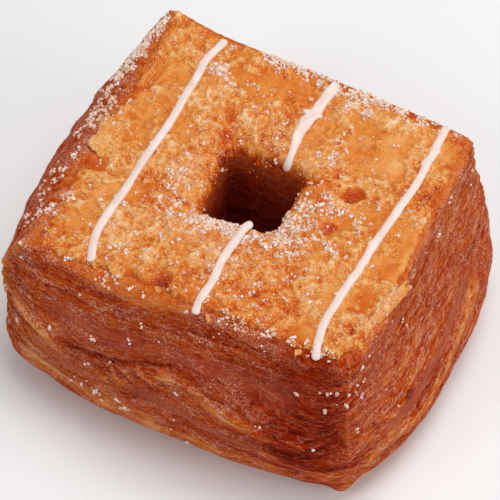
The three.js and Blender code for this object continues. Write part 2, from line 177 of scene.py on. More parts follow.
# Shares of a sheet's thickness: where the next begins, and the groove's middle and half width
SHEET_TURN, GROOVE_MIDDLE, GROOVE_HALF = 0.72, 0.86, 0.1
# What thick and thin sheets, the grooves of each, and strands, fibres and crumb do to relief and tone; in
# tone, the grooves' darkening is painted shade, and sheets and crests lighter than the hollows between are
# partly the layers' own browning, partly painted light and shade
SHEET_RELIEF, FIBRE_RELIEF = (0.3, 0.17, -0.12, -0.06), (0.15, 0.12, 0.08)
SHEET_TONES_AND_SHADE, FIBRE_TONES_AND_SHADE = (0.1, 0.1, -0.08, -0.08), (0.12, 0.1, 0.06)
# What smooth and golden places lose of that relief, and how far below the top it begins
SMOOTH_LOSS, GOLD_LOSS, TOP_FADE = 0.8, 0.4, (0.5, 5)
GOLD_BASE, GOLD_FINE, GOLD_BROAD = 0.85, 0.9, 0.8
PATCH_GOLD, PATCH_EDGE, PATCH_TOP, PATCH_FADE = 0.6, (0.2, 0.7), 25, 7
# Tones of the sides: base, gold and its floor, painted shade in folds, and the standing corner edges
SIDE_TONE, GOLD_TONE, GOLD_FLOOR, PAINTED_FOLD_SHADE, EDGE_TONE = 0.37, 0.34, -0.6, -0.1, 0.2
SKIN_DEPTH, SKIN_RAGGED, SKIN_EDGE = 1.5, (0.8, 0.5), (-0.5, 0.6)
SKIN_SHARE, SKIN_TONE, SKIN_CRUMB = 0.85, 0.5, 0.08
SMOOTH_SHARE, GOLD_SMOOTH = 0.85, 0.2

# Hollows of the top face and the places where the crust has sunk, as in the solid: x, y, spread and depth
DENT_DEPTH, DENT_LENGTH = 0.3, 5.5
PITS = [(19.2, 9.5, 4, 0.8), (18.6, -3, 3, 0.6), (-6.5, -28.6, 3.5, 0.8), (-32.5, -6.5, 3, 0.7)]
# Grooves that run out from the hole's corners: from, to, half width and depth
GROOVES = [
    ((-9.4, 7.6), (-14, 17.6), 1.2, 0.9),
    ((7, 7.2), (10.4, 8.8), 1, 1),
    ((-10, -7.4), (-12.2, -8.2), 0.9, 0.9),
]


def hill(distance, spread):
    """A smooth hill, 1 at its middle."""
    return np.exp(-((distance / spread) ** 2))


def lopsided(apart, above, below):
    """A hill with a spread of its own on each side."""
    return hill(apart, np.where(apart > 0, above, below))


def step(value, low, high):
    """0 below low, 1 above high and smooth between."""
    share = np.clip((value - low) / (high - low), 0, 1)
    return share * share * (3 - 2 * share)


def degrees_apart(theta, angle):
    """Signed degrees from an angle to theta, which is in radians."""
    return (np.degrees(theta) - angle + 180) % 360 - 180


def waves_at(theta, waves):
    """The sum of hills of given angle, rise and spread round the ring."""
    return sum(rise * hill(degrees_apart(theta, angle), spread) for angle, rise, spread in waves)


def spots_at(x, y, spots, stretch=1):
    """The sum of hills of given place, spread and rise on the top face."""
    return sum(rise * hill(np.hypot(x - px, y - py) * stretch, spread) for px, py, spread, rise in spots)


def weighed(shares, parts):
    """The sum of parts, each by its share."""
    return sum(share * part for share, part in zip(shares, parts))


def stack(*parts):
    """Coordinates side by side in a last axis."""
    return np.stack(np.broadcast_arrays(*parts), axis=-1)


def unit(vectors):
    """The same directions, each one long."""
    return vectors / np.linalg.norm(vectors, axis=-1, keepdims=True)


def smoothed(values, width, **padding):
    """A running mean down each column."""
    padded = np.pad(values, ((width // 2, width // 2), (0, 0)), **padding)
    kernel = np.ones(width) / width
    return np.stack([np.convolve(column, kernel, "valid") for column in padded.T], axis=1)


def noise(points, seed):
    """Smooth noise from about -1 to 1, with features about one unit across."""
    table = np.random.default_rng(seed).permutation(256)
    slopes = unit(np.random.default_rng(seed + 1).normal(size=(256, 3)))
    cell = np.floor(points).astype(int)
    inside = points - cell
    fade = inside ** 3 * (inside * (inside * 6 - 15) + 10)
    total = 0
    for corner in itertools.product((0, 1), repeat=3):
        at = (cell + corner) % 256
        row = table[(at[..., 0] + table[(at[..., 1] + table[at[..., 2]]) % 256]) % 256]
        weight = np.prod(np.where(corner, fade, 1 - fade), axis=-1)
        total = total + weight * np.sum(slopes[row] * (inside - corner), axis=-1)
    return 1.5 * total


def rough_noise(points, seed, octaves=3):
    """Noise with finer noise on it."""
    return sum(noise(points * 2 ** k, seed + 7 * k) / 2 ** k for k in range(octaves))


def crests(points, seed):
    """Thin ridges with broad hollows between, from -0.6 to 0.5."""
    return np.maximum(-0.6, 0.5 - 1.8 * np.abs(noise(points, seed)))


# The dough's form

def on_square(theta):
    """The points of a unit square that angles round the ring meet."""
    turn = theta / (np.pi / 2)
    side = np.round(turn).astype(int)
    even = 2 * (turn - side)
    along = (1 - GATHER) * even + GATHER * np.sin(even * np.pi / 2)
    axis = np.array([s[0] for s in SIDES])[side % 4]
    return axis + stack(-axis[..., 1], axis[..., 0]) * along[..., None]


def drawn_in(square, size=OUTER_SIZE, power=OUTER_SQUARENESS):
    """Points of a square drawn in to a superellipse, which is the ring's outline unless stated."""
    shrink = np.sum(np.abs(square) ** power, axis=-1) ** (-1 / power)
    return square * shrink[..., None] * size / 2


def bulge(side, share):
    """A side's bulge at a share of the height."""
    _, swell, peak, power, _ = side
    away = np.where(share > peak, (share - peak) / (1 - peak), (peak - share) / (peak + TUCK))
    return swell * np.cos(np.pi / 2 * np.clip(away, 0, 1)) ** power


def dent(x, y):
    """The top face's own unevenness."""
    waves = np.sin(x / DENT_LENGTH + 1) * np.sin(y / DENT_LENGTH) + np.sin((x + 2 * y) / (2 * DENT_LENGTH))
    return DENT_DEPTH * waves - spots_at(x, y, PITS)


def follow(theta, points):
    """Height of a line through given places round the ring, where it shows, and its mean height."""
    angles, heights = np.array(points, float).T
    fine = np.linspace(angles[0], angles[-1], RIDGE_STEPS)
    curve = np.interp(fine, angles, heights)[:, None]
    for _ in range(2):
        curve = smoothed(curve, RIDGE_BLUR, mode="reflect", reflect_type="odd")
    middle = (angles[0] + angles[-1]) / 2
    at = middle + degrees_apart(theta, middle)
    shows = step(at - angles[0], 0, RIDGE_FADE) * step(angles[-1] - at, 0, RIDGE_FADE)
    return np.interp(at, fine, curve[:, 0]), shows, curve.mean()


def sheets(x, y, level, pitch, reach, seed):
    """Stacked sheets of dough: how far each stands out, and the grooves between them."""
    sway = noise(stack(x / SHEET_SWAY_LENGTH, y / SHEET_SWAY_LENGTH, level / (3 * pitch)), seed)
    place = level / pitch + SHEET_SWAY * sway
    number = np.floor(place)
    share = place - number
    heights = (number * SHEETS_APART + 0.5, (number + 1) * SHEETS_APART + 0.5)
    this, after = (noise(stack(x / reach, y / reach, height), seed + 1) for height in heights)
    stands = this + (after - this) * step(share, SHEET_TURN, 1)
    return stands, hill(share - GROOVE_MIDDLE, GROOVE_HALF)


def layers(theta, height):
    """The layers' relief and sag at places on the sides, and the numbers that their colours come from."""
    theta, height = np.broadcast_arrays(theta, height)
    x, y = np.moveaxis(drawn_in(on_square(theta)), -1, 0)
    below_top = step(HEIGHT - height, *TOP_FADE)

    def uneven(kind, level, form=noise):
        """Noise of one kind, or crests of it."""
        wide, high, seed = SIDE_NOISE[kind]
        return form(stack(x / wide, y / wide, level / high), seed)

    # Rolls and folds carry the layers with them
    rise, gold, smooth, pull, near = (np.zeros(theta.shape) for _ in range(5))
    for points, out, above, below, golden, sleek in RIDGES:
        middle, shows, mean = follow(theta, points)
        roll = shows * lopsided(height - middle, above, below)
        rise += out * roll
        # A golden share below zero darkens a fold as painted shade
        gold += golden * roll
        smooth += sleek * roll
        close = shows * hill(height - middle, FLOW_REACH)
        pull += close * (middle - mean)
        near += close
    drawn = np.clip(waves_at(theta, STRAND_WAVES), 0, 1) * (1 - STRAND_LOSS * step(height, *STRAND_HEIGHTS))
    ripple = RIPPLE * (1 - RIPPLE_LOSS * drawn) * uneven("ripple", height)
    sway = SWAY * uneven("sway", height) + ripple
    level = height - pull / np.maximum(1, near) + sway * below_top
    # Smooth bands get painted oily shine: a reflection painted as pinkish-brown colour
    painted_sheen = np.clip(smooth, 0, 1)
    smooth = np.clip(painted_sheen + waves_at(theta, CALM_WAVES), 0, 1)

    # Sheets of two thicknesses, with fibres and crumb on them, and upright corners
    thick, deep = sheets(x, y, level, *THICK_SHEETS)
    thin, fine = sheets(x, y, level, *THIN_SHEETS)
    strand = uneven("short_strand", level, crests) * (1 - drawn)
    strand += uneven("long_strand", level, crests) * drawn
    fibre = uneven("fibre", level, crests) * (1 - FIBRE_LOSS * drawn)
    crumb = uneven("crumb", height)
    edge, teeth, notched = 0, 1, 0
    for angle, out, spread, layered in UPRIGHTS:
        apart = degrees_apart(theta, angle)
        corner = hill(apart, spread)
        edge = edge + out * corner * step(height, *UPRIGHT_FOOT)
        teeth = teeth + layered * corner
        notched = notched + layered * hill(apart, NOTCH_REACH * spread)
    gold *= GOLD_BASE + GOLD_FINE * uneven("gold", level)
    gold *= GOLD_BASE + GOLD_BROAD * uneven("broad_gold", level)
    gilt = np.clip(gold, 0, 1)
    loose = (1 - SMOOTH_LOSS * smooth) * (1 - GOLD_LOSS * gilt)
    even = below_top * loose
    notch = 1 - np.abs(np.sin(np.pi * (level + NOTCH_SWAY * uneven("notch", level)) / NOTCH_PITCH))
    lumps = (LUMPS + waves_at(theta, LUMP_WAVES)) * uneven("lump", height)
    relief = even * weighed(SHEET_RELIEF, (teeth * thick, teeth * thin, deep, fine))
    relief += loose * weighed(FIBRE_RELIEF, (strand, fibre, crumb))
    relief += below_top * (lumps - NOTCH_DEPTH * notched * notch) + rise + edge

    # Folds all round, deeper at the back and the left
    strength = np.clip(CREASE_DEPTH + waves_at(theta, CREASE_DEPTH_WAVES), 0, CREASE_LIMIT)
    folds = strength * sum(depth * lopsided(level - at, *spreads) for at, depth, *spreads in CREASES)
    relief -= folds
    sag = SAG * hill(height - SAG_HEIGHT, SAG_SPREAD) * strength

    # How light each place is, with painted shade darkening grooves and folds, and crests lighter partly as
    # painted light
    patches = step(uneven("patch", level), *PATCH_EDGE)
    gold += PATCH_GOLD * patches * step(PATCH_TOP - height, 0, PATCH_FADE)
    vivid = 1 + waves_at(theta, VIVID_WAVES)
    tone = SIDE_TONE + even * weighed(SHEET_TONES_AND_SHADE, (thick, thin, deep, fine))
    tone += weighed(FIBRE_TONES_AND_SHADE, (vivid * strand, vivid * fibre, crumb)) + waves_at(theta, TONE_WAVES)
    # Painted shade: folds are darkened in colour
    tone += GOLD_TONE * np.clip(gold, GOLD_FLOOR, 1) + PAINTED_FOLD_SHADE * folds + EDGE_TONE * edge
    for angle, middle, change, wide, high in TONE_PATCHES:
        tone += change * hill(degrees_apart(theta, angle), wide) * hill(height - middle, high)
    skin_end = HEIGHT - SKIN_DEPTH - waves_at(theta, SKIN_WAVES)
    skin = step(height + weighed(SKIN_RAGGED, (thick, crumb)) - skin_end, *SKIN_EDGE)
    tone = tone * (1 - SKIN_SHARE * skin) + SKIN_SHARE * skin * (SKIN_TONE + SKIN_CRUMB * crumb)
    smooth = SMOOTH_SHARE * smooth + GOLD_SMOOTH * gilt * (1 - smooth)
    return relief, sag, dict(tone=tone, level=level, smooth=smooth, painted_sheen=painted_sheen, skin=skin, drawn=drawn)


def dough_points(theta, out, height, relief=0, sag=0):
    """Places on the dough: angle round the ring, share of the way out from the hole, and height."""
    theta, out, height = np.broadcast_arrays(theta, out, height)
    square = on_square(theta)
    outer = drawn_in(square)
    hole = drawn_in(square, HOLE_SIZE, HOLE_SQUARENESS) + HOLE_SHIFT
    hole = hole + HOLE_PULL * np.prod(1 - square, axis=-1, keepdims=True) / 4
    plan = hole + (outer - hole) * out[..., None]
    share = np.clip(height / HEIGHT, 0, 1)
    points = stack(plan[..., 0], plan[..., 1], height.astype(float))
    u, v = np.moveaxis(plan / (OUTER_SIZE / 2), -1, 0)

    for side in SIDES:
        (ax, ay), ends = side[0], side[4]
        towards = np.maximum(0, square[..., 0] * ax + square[..., 1] * ay) ** SWELL_POWER
        along = np.abs(square[..., 0] * ay + square[..., 1] * ax)
        grow = bulge(side, share) * np.maximum(0, out) ** SWELL_REACH * towards
        points += stack(ax, ay, 0) * (grow * (1 - ends * along ** SWELL_END_POWER))[..., None]

    near_edge = np.clip(1 - (1 - out) * RING / SLUMP_REACH, 0, 1) ** 2
    points[..., 2] -= waves_at(theta, SLUMPS) * near_edge * share ** EDGE_POWER
    outward = unit(square * np.abs(square) ** OUTWARD_POWER)
    far = np.maximum(0, out) ** WALL_POWER
    stand = relief * (far - HOLE_RELIEF * (1 - np.minimum(1, out)) ** HOLE_POWER)
    stand = stand + waves_at(theta, TOP_EDGES) * far * share ** EDGE_POWER
    points[..., :2] += outward * stand[..., None]
    main = CREASES[0][0]
    carried = np.where(height < main, height / main, (HEIGHT - height) / (HEIGHT - main))
    points[..., 2] += waves_at(theta, CREASE_WAVES) * carried * far - sag * far

    for (cx, cy), top, low in CORNERS:
        weight = (1 + cx * u) * (1 + cy * v) / 4
        lifted = (np.maximum(0, cx * u) * np.maximum(0, cy * v)) ** CORNER_POWER
        points += stack(*top) * (weight * share)[..., None]
        points += stack(*low) * (stack(weight, weight, lifted) * (1 - share)[..., None])
    for corner, middle, reach, spread in TIPS:
        away = np.linalg.norm(outer - drawn_in(np.array(corner, float)), axis=-1)
        points += stack(*reach) * (hill(away, spread) * hill(height - middle, spread) * far)[..., None]
    points[..., 2] += dent(points[..., 0], points[..., 1]) * share ** DENT_POWER
    return np.maximum(points, [-np.inf, -np.inf, 0])


# Making pieces

def make_piece(name, points, faces, material, numbers, uv, smooth=True, normals=None):
    """A mesh piece, with a number of each kind at every point and a map of its faces."""
    mesh = bpy.data.meshes.new(name)
    mesh.from_pydata(((points.reshape(-1, 3) + MIDDLE) * MM).tolist(), [], faces)
    for key, values in numbers.items():
        data = mesh.attributes.new(key, "FLOAT", "POINT").data
        data.foreach_set("value", np.ravel(values).astype(np.float32))
    mesh.uv_layers.new(name="OFBake").data.foreach_set("uv", np.ravel(uv).astype(np.float32))
    mesh.polygons.foreach_set("use_smooth", [smooth] * len(faces))
    if normals is not None:
        mesh.normals_split_custom_set_from_vertices(normals.reshape(-1, 3).tolist())
    mesh.materials.append(material)
    piece = add_object(name, mesh)
    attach(piece, "root")
    return piece


def add_object(name, data):
    """An object in the scene."""
    thing = bpy.data.objects.new(name, data)
    bpy.context.scene.collection.objects.link(thing)
    return thing


def grid_faces(columns, rows, closed=True):
    """Faces and map of a grid whose rows close on themselves, and whose columns do too if it is closed."""
    i, j = (n.ravel() for n in np.mgrid[:columns if closed else columns - 1, :rows])
    steps = [(0, 1), (1, 1), (1, 0), (0, 0)]
    faces = np.stack([(i + a) % columns * rows + (j + b) % rows for a, b in steps], axis=1)
    uv = np.stack([stack((i + a) / columns, (j + b) / rows) for a, b in steps], axis=1)
    return faces, uv


def arc(centre, radius, start, end, count):
    """Points of an arc of the ring's section."""
    angles = np.radians(np.linspace(start, end, count))
    return centre + radius * stack(np.cos(angles), np.sin(angles))


def line(start, end, count):
    """Points between two points of the ring's section, without its ends."""
    shares = np.linspace(0, 1, count + 2)[1:-1, None]
    return np.array(start) * (1 - shares) + np.array(end) * shares


def swept(section, columns):
    """Angle, share of the way out and height of a section's points all round the ring."""
    theta = np.linspace(0, 2 * np.pi, columns, endpoint=False)[:, None]
    return np.broadcast_arrays(theta, section[None, :, 0] / RING, section[None, :, 1])


# The dough inside, whose hole shows

CORE_COLUMNS, CORE_SIDE, CORE_FOOT_INSET = 360, RING - 3, 0.6
UNDER_CRUST = HEIGHT - CRUST_THICKNESS
# The section inside the outer layers, from the hole's wall over the top and down
CORE_SECTION = np.concatenate([
    line((0, HOLE_FOOT), (0, UNDER_CRUST - RIM), 70),
    arc((RIM, UNDER_CRUST - RIM), RIM, 180, 90, 8),
    line((RIM, UNDER_CRUST), (CORE_SIDE, UNDER_CRUST), 3),
    line((CORE_SIDE, UNDER_CRUST), (CORE_SIDE, FOOT), 3),
    line((CORE_SIDE, FOOT), (RING - FOOT, 0), 1),
    line((RING - FOOT + CORE_FOOT_INSET, 0), (HOLE_FOOT, 0), 2),
    arc((HOLE_FOOT, HOLE_FOOT), HOLE_FOOT, -90, -180, 5),
])
# Where the hole's relief fades on the way out, the depths over which it darkens as painted shade, and the
# heights where it sinks
CORE_FADE, CORE_SHADE_DEPTHS, CORE_SINK = (0.2, 0.5), (1, 15), (HEIGHT - 14, HEIGHT - 2)
# Tones of the hole: its base, painted shade with depth, and how much of the layers' contrast it keeps around
# their mean
CORE_TONE, CORE_PAINTED_DEPTH_SHADE, CORE_CONTRAST, CORE_MEAN = 0.43, -0.24, 0.5, 0.38
CORE_NUMBERS = {"smooth": 0.6, "drawn": 0.6, "painted_sheen": 0, "skin": 0}


def sink(theta, out):
    """How far the top has sunk towards the hole."""
    depth = FUNNEL_DEPTH + waves_at(theta, FUNNEL_WAVES)
    return depth * hill(np.maximum(0, out * RING - 1), FUNNEL_REACH)


def build_core(material):
    """The body of the ring, with the hole's wall."""
    theta, out, height = swept(CORE_SECTION, CORE_COLUMNS)
    relief, _, numbers = layers(theta, height)
    points = dough_points(theta, out, height, relief * step(0.5 - out, *CORE_FADE))
    points[..., 2] -= sink(theta, out) * step(height, *CORE_SINK)
    # Painted shade: the hole's wall darkens with depth
    tone = CORE_TONE + waves_at(theta, CORE_LIGHT) + CORE_PAINTED_DEPTH_SHADE * step(HEIGHT - height, *CORE_SHADE_DEPTHS)
    numbers["tone"] = tone + CORE_CONTRAST * (numbers["tone"] - CORE_MEAN)
    numbers.update((key, np.full(height.shape, value)) for key, value in CORE_NUMBERS.items())
    faces, uv = grid_faces(*height.shape)
    piece = make_piece("dough", points, faces.tolist(), material, numbers, uv)
    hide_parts("pastry")
    return piece


# The outer layers, as rings one above the other

LAYER_COLUMNS, LAYER_THICKNESS, LAYER_UNDERLAP = 800, 2, 3
LAYER_RINGS = ["layers_top", "layers_upper", "layers_lower", "layers_foot"]
LAYER_INSIDE = (2, HEIGHT - 3)
# The outer side's section, from under the crust's edge down to the underside
SIDE_SECTION = np.concatenate([
    line((RING - SHOULDER - LAYER_UNDERLAP, UNDER_CRUST), (RING - SHOULDER, UNDER_CRUST), 2),
    arc((RING - SHOULDER, UNDER_CRUST - SHOULDER), SHOULDER, 90, 0, 14),
    line((RING, UNDER_CRUST - SHOULDER), (RING, FOOT), 248),
    arc((RING - FOOT, FOOT), FOOT, 0, -90, 80),
])


def build_layers(material):
    """The layered outer side, in rings that meet edge to edge."""
    theta, out, height = swept(SIDE_SECTION, LAYER_COLUMNS)
    relief, sag, numbers = layers(theta, height)
    points = dough_points(theta, out, height, relief, sag)
    inside = dough_points(theta, out - LAYER_THICKNESS / RING, np.clip(height, *LAYER_INSIDE))
    normals = unit(np.cross(np.gradient(points, axis=1), np.roll(points, -1, 0) - np.roll(points, 1, 0)))
    borders = np.linspace(0, height.shape[1] - 1, len(LAYER_RINGS) + 1).astype(int)
    pieces = []
    for name, first, last in zip(LAYER_RINGS, borders[:-1], borders[1:]):
        rows = np.concatenate([np.arange(first, last + 1), [last, first]])
        ring = points[:, rows]
        ring[:, -2:] = inside[:, rows[-2:]]
        faces, uv = grid_faces(LAYER_COLUMNS, len(rows))
        values = {key: value[:, rows] for key, value in numbers.items()}
        piece = make_piece(name, ring, faces.tolist(), material, values, uv, normals=normals[:, rows])
        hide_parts("pastry")
        pieces.append(piece)
    return pieces


# The crust

CRUST_COLUMNS, CRUST_ROWS = 880, 76
CRUST_MARGIN, LEAST_MARGIN = 1.5, 0.25
# Smooth places: x, y, spread along and across, turn in degrees, and tone
WINDOWS = [
    (33.4, -16, 3.8, 2.3, 72, 0.45), (35, -6, 2.4, 1.2, 80, 0.48), (19.4, 8.8, 2.6, 2.2, 60, 0.25),
    (19, -2, 1.7, 1.8, 0, 0.28), (14.4, 26.5, 4.4, 1.9, -20, 0.5), (-2, 29.5, 3.4, 2, -30, 0.5),
    (-33.6, 17.5, 5, 2, 80, 0.44), (-32.6, -6.9, 2.6, 2, 0, 0.43), (-5.6, -28.6, 1.8, 1.4, 0, 0.4),
]
# Darker and lighter places: x, y, spread and change of tone
TONE_PLACES = [
    (33.4, 14.5, 2.6, -0.2), (36.6, 9.6, 2, 0.16), (11.6, 24.5, 0.6, -0.5), (28, 20.5, 2.4, -0.1),
    (-13, 6, 3.6, -0.14), (-4, -27, 4, -0.12), (12, 12, 3, -0.1), (-13.5, 13, 4, -0.1), (0, 15, 3, -0.1),
    (33.5, 34, 4, -0.12), (-36, 3, 4, -0.06), (13, -24, 9, -0.15), (35.5, -25, 4, -0.06),
    (35.5, -3, 4, -0.04), (-33, 32.5, 4.5, 0.05), (-32, 11, 5, 0.06), (-25, 26, 4.5, 0.1),
    (-19.5, 18, 5, 0.08), (-33.5, -16.5, 3, 0.1), (11, 29, 5, 0.1), (21, 28, 5, 0.1), (23, 18, 5, 0.08),
    (-17, -21.5, 5, 0.09), (27, -14, 5, 0.07),
]
# Where more or less crumb lies on the crust: x, y, spread and change
CRUMB_PLACES = [
    (-31, 18, 7, -0.3), (-8, 27, 6, -0.3), (20, 22, 9, -0.35), (34, -8, 8, -0.4), (-14, -2, 7, 0.45),
    (9, -20, 13, 0.4), (-16, -25, 9, 0.4), (-2, 13, 5, 0.4), (34, -30, 5, 0.5),
]
# Size, seed and octaves of the crust's broad swells, mottling, crumb and ragged edges
CRUST_NOISE = [(11, 21, 3), (3.2, 22, 3), (1.25, 23, 2), (2.2, 26, 3)]
# The sheet of crumb on the crust: size, seed, amounts, and where it and a second one begin
COVER_SIZE, COVER_SEED, COVER, COVER_NOISE, COVER_RAGGED = 8, 24, 0.1, 0.8, 0.3
COVER_EDGE, UPPER_EDGE = (-0.05, 0.05), (0.55, 0.62)
# Middle and half width of the sheet's raised bank and of the darker edge below it, where shade is painted
BANK, SHADED_BRINK = (0.03, 0.12), (-0.06, 0.08)
# What swells, mottling, the sheet, its mottling and crumb, and the second sheet change, then for tone the
# painted shade below the sheet's edge, for relief the bank
CRUST_TONES = (0.13, 0.08, 0.03, 0.15, 0.24, 0.05, -0.07)
CRUST_RELIEF = (0.3, 0.1, 0.26, 0.3, 0.34, 0.16, 0.1)
CRUST_TONE, SHEET_SMOOTH = 0.58, 0.75
WINDOW_REACH, WINDOW_RAGGED, WINDOW_EDGE = 1.15, 0.4, (-0.1, 0.5)
WINDOW_TONE, WINDOW_RELIEF, WINDOW_DEPTH = 0.04, 0.05, -0.12
# How ragged the tone places and grooves are, the grooves' painted shade, and their smoothness
PLACE_RAGGED, GROOVE_RAGGED, GROOVE_SHADE, GROOVE_SMOOTH = 0.3, 0.5, -0.2, 0.7
# Size, share, seed and octaves of the ragged edge, then how that edge curls and the rim waves
EDGE_NOISE = [(5, 0.6, 31, 3), (1.3, 0.45, 32, 2)]
CURL, CURL_MIDDLE, CURL_SIZE, CURL_SEED, CURL_EDGE, CURL_TONE = 0.45, 0.7, 4, 33, (0, 0.6), 0.3
RIM_WAVE, RIM_WAVE_SIZE, RIM_WAVE_HEIGHT, RIM_WAVE_SEED = 0.5, 2.6, 2, 34
# The rim's relief and where its top begins, its painted shade down into the hole and that shade's power, its
# smoothness, and how far past the rim it reaches
RIM_RELIEF, RIM_TOP, RIM_SHADE, RIM_SHADE_POWER, RIM_SMOOTH, RIM_OVER = 0.35, 0.4, -0.3, 0.7, 0.8, 0.1
EDGE_DARK, EDGE_SPREAD, EDGE_TURN, EDGE_CLOSE = -0.16, 1.8, (RING - SHOULDER - 1, RING - 0.4), 0.5


def along_line(x, y, start, end):
    """Distance from places of the top face to a straight line between two points."""
    from_start, run = x + 1j * y - complex(*start), complex(*end) - complex(*start)
    return np.abs(from_start - run * np.clip((from_start / run).real, 0, 1))


def turned(x, y, degrees):
    """Places turned about the origin."""
    places = (x + 1j * y) * np.exp(1j * np.radians(degrees))
    return places.real, places.imag


def crust_relief(x, y):
    """The crust's own relief, tone and smoothness at places of the top face."""
    flat = stack(x, y, 0 * x)
    broad, mottle, crumb, ragged = (rough_noise(flat / size, *rest) for size, *rest in CRUST_NOISE)

    # A ragged sheet of crumb on a smooth amber one
    cover = COVER + COVER_NOISE * noise(flat / COVER_SIZE, COVER_SEED) + COVER_RAGGED * ragged
    cover = cover + spots_at(x, y, CRUMB_PLACES)
    rough = step(cover, *COVER_EDGE)
    bank, shaded_brink = (hill(cover - middle, half) for middle, half in (BANK, SHADED_BRINK))
    parts = (broad, mottle, rough, rough * mottle, rough * crumb, step(cover, *UPPER_EDGE))
    # Painted shade: the foot of the raised sheet's edge is darkened
    tone = CRUST_TONE + weighed(CRUST_TONES, (*parts, shaded_brink))
    rise = weighed(CRUST_RELIEF, (*parts, bank * rough))
    smooth = SHEET_SMOOTH * (1 - rough)
    for px, py, along, across, turn, amber in WINDOWS:
        dx, dy = turned(x - px, y - py, -turn)
        reach = np.hypot(dx / along, dy / across)
        window = step(WINDOW_REACH - reach + WINDOW_RAGGED * ragged, *WINDOW_EDGE)
        smooth = np.maximum(smooth, window)
        tone = tone * (1 - window) + window * (amber + WINDOW_TONE * mottle)
        rise = rise * (1 - window) + window * (WINDOW_RELIEF * mottle + WINDOW_DEPTH)
    tone = tone + spots_at(x, y, TONE_PLACES, 1 + PLACE_RAGGED * ragged)
    for start, end, half, depth in GROOVES:
        groove = hill(along_line(x + GROOVE_RAGGED * ragged, y, start, end), half)
        rise = rise - depth * groove
        # Painted shade: the grooves are darkened in colour
        tone = tone + GROOVE_SHADE * groove
        smooth = np.maximum(smooth, GROOVE_SMOOTH * groove)
    return rise, tone, smooth


def build_crust(material):
    """The thin browned skin on top, with a ragged edge, that turns over the hole's rim."""
    theta = np.linspace(0, 2 * np.pi, CRUST_COLUMNS, endpoint=False)[:, None]
    wall = np.pad(drawn_in(on_square(theta)), ((0, 0), (0, 0), (0, 1)))
    ragged = sum(share * rough_noise(wall / size, *rest) for size, share, *rest in EDGE_NOISE)
    edge = RING - np.maximum(LEAST_MARGIN, CRUST_MARGIN + waves_at(theta, CRUST_WAVES) + ragged)

    # From inside the hole's wall over the rim, across the top to the ragged edge, and back underneath
    rim = arc((RIM, HEIGHT - RIM), RIM, 186, 90, 14)
    rim = np.concatenate([[(0.9, HEIGHT - 6.5), (0.4, HEIGHT - 5.4)], rim])
    across = RIM + (edge - RIM) * np.linspace(0, 1, CRUST_ROWS)[None, 1:]
    round_off = SHOULDER - np.sqrt(np.maximum(0, SHOULDER ** 2 - (across - RING + SHOULDER) ** 2))
    down = HEIGHT - np.where(across > RING - SHOULDER, round_off, 0)
    closed = down - CRUST_THICKNESS * (1 - step(edge - across, 0, EDGE_CLOSE))
    lip = [
        (edge - 0.1, down[:, -1:] - 1.1),
        (edge - 2.5, HEIGHT - 1.3),
        ((edge + RIM) / 2, HEIGHT - 1.4),
        (RIM + 1.5, HEIGHT - 1.5),
        (2, HEIGHT - 4),
    ]
    ones = np.ones((CRUST_COLUMNS, 1))
    out = np.concatenate([ones * rim[:, 0], across, *[ones * a for a, _ in lip]], axis=1)
    height = np.concatenate([ones * rim[:, 1], closed, *[ones * h for _, h in lip]], axis=1)
    points = dough_points(theta, out / RING, height)
    x, y = points[..., 0].copy(), points[..., 1].copy()
    rise, tone, smooth = crust_relief(x, y)

    # Only what shows from above has relief, and it fades down the rim
    shows = np.zeros(out.shape[1])
    shows[2:-len(lip)] = 1
    lean = step(height, HEIGHT - RIM, HEIGHT - RIM_TOP)
    from_edge = edge - out
    curl = CURL * hill(from_edge - CURL_MIDDLE, CURL_MIDDLE)
    curl = curl * step(rough_noise(wall / CURL_SIZE, CURL_SEED), *CURL_EDGE)
    points[..., 2] += shows * (rise * (RIM_RELIEF + (1 - RIM_RELIEF) * lean) + curl)
    points[..., 2] -= sink(theta, out / RING)
    waves = stack(x / RIM_WAVE_SIZE, y / RIM_WAVE_SIZE, height / RIM_WAVE_HEIGHT)
    waves = RIM_WAVE * rough_noise(waves, RIM_WAVE_SEED, 2) * (1 - lean) * shows * (out < RIM)
    points[..., :2] += np.sign(points[..., :2] - HOLE_SHIFT) * waves[..., None]
    fall = (1 - lean) * (out < RIM + RIM_OVER)
    # Painted shade: the crust darkens where it turns down into the hole
    tone = tone + RIM_SHADE * fall ** RIM_SHADE_POWER + CURL_TONE * curl
    at_edge = np.maximum(hill(np.maximum(0, from_edge), EDGE_SPREAD), step(out, *EDGE_TURN))
    tone = tone + (waves_at(theta, EDGE_LIGHT) + EDGE_DARK) * at_edge
    faces, uv = grid_faces(*out.shape)
    numbers = {"tone": tone, "smooth": np.maximum(smooth, RIM_SMOOTH * fall), "level": height}
    piece = make_piece("crust", points, faces.tolist(), material, numbers, uv)
    return piece


# Things that lie on the surface

DOWN, ABOVE = (0, 0, -1), 70


def surface_of(*pieces):
    """One tree of the pieces' faces, in millimetres from the ring's middle."""
    points, faces = [], []
    for piece in pieces:
        mesh = piece.data
        places = np.empty(3 * len(mesh.vertices), np.float32)
        mesh.vertices.foreach_get("co", places)
        corners = np.empty(len(mesh.loops), np.int32)
        mesh.loops.foreach_get("vertex_index", corners)
        faces.extend((corners.reshape(len(mesh.polygons), -1) + len(points)).tolist())
        points.extend((places.reshape(-1, 3) / MM - MIDDLE).tolist())
    return BVHTree.FromPolygons(points, faces)


def meet(surface, start, direction):
    """Where a ray meets the surface, and the surface's direction there."""
    place, normal, _, _ = surface.ray_cast(Vector(start), Vector(direction))
    if place is None:
        return None
    if normal.dot(Vector(direction)) > 0:
        normal = -normal
    return np.array(place), np.array(normal)


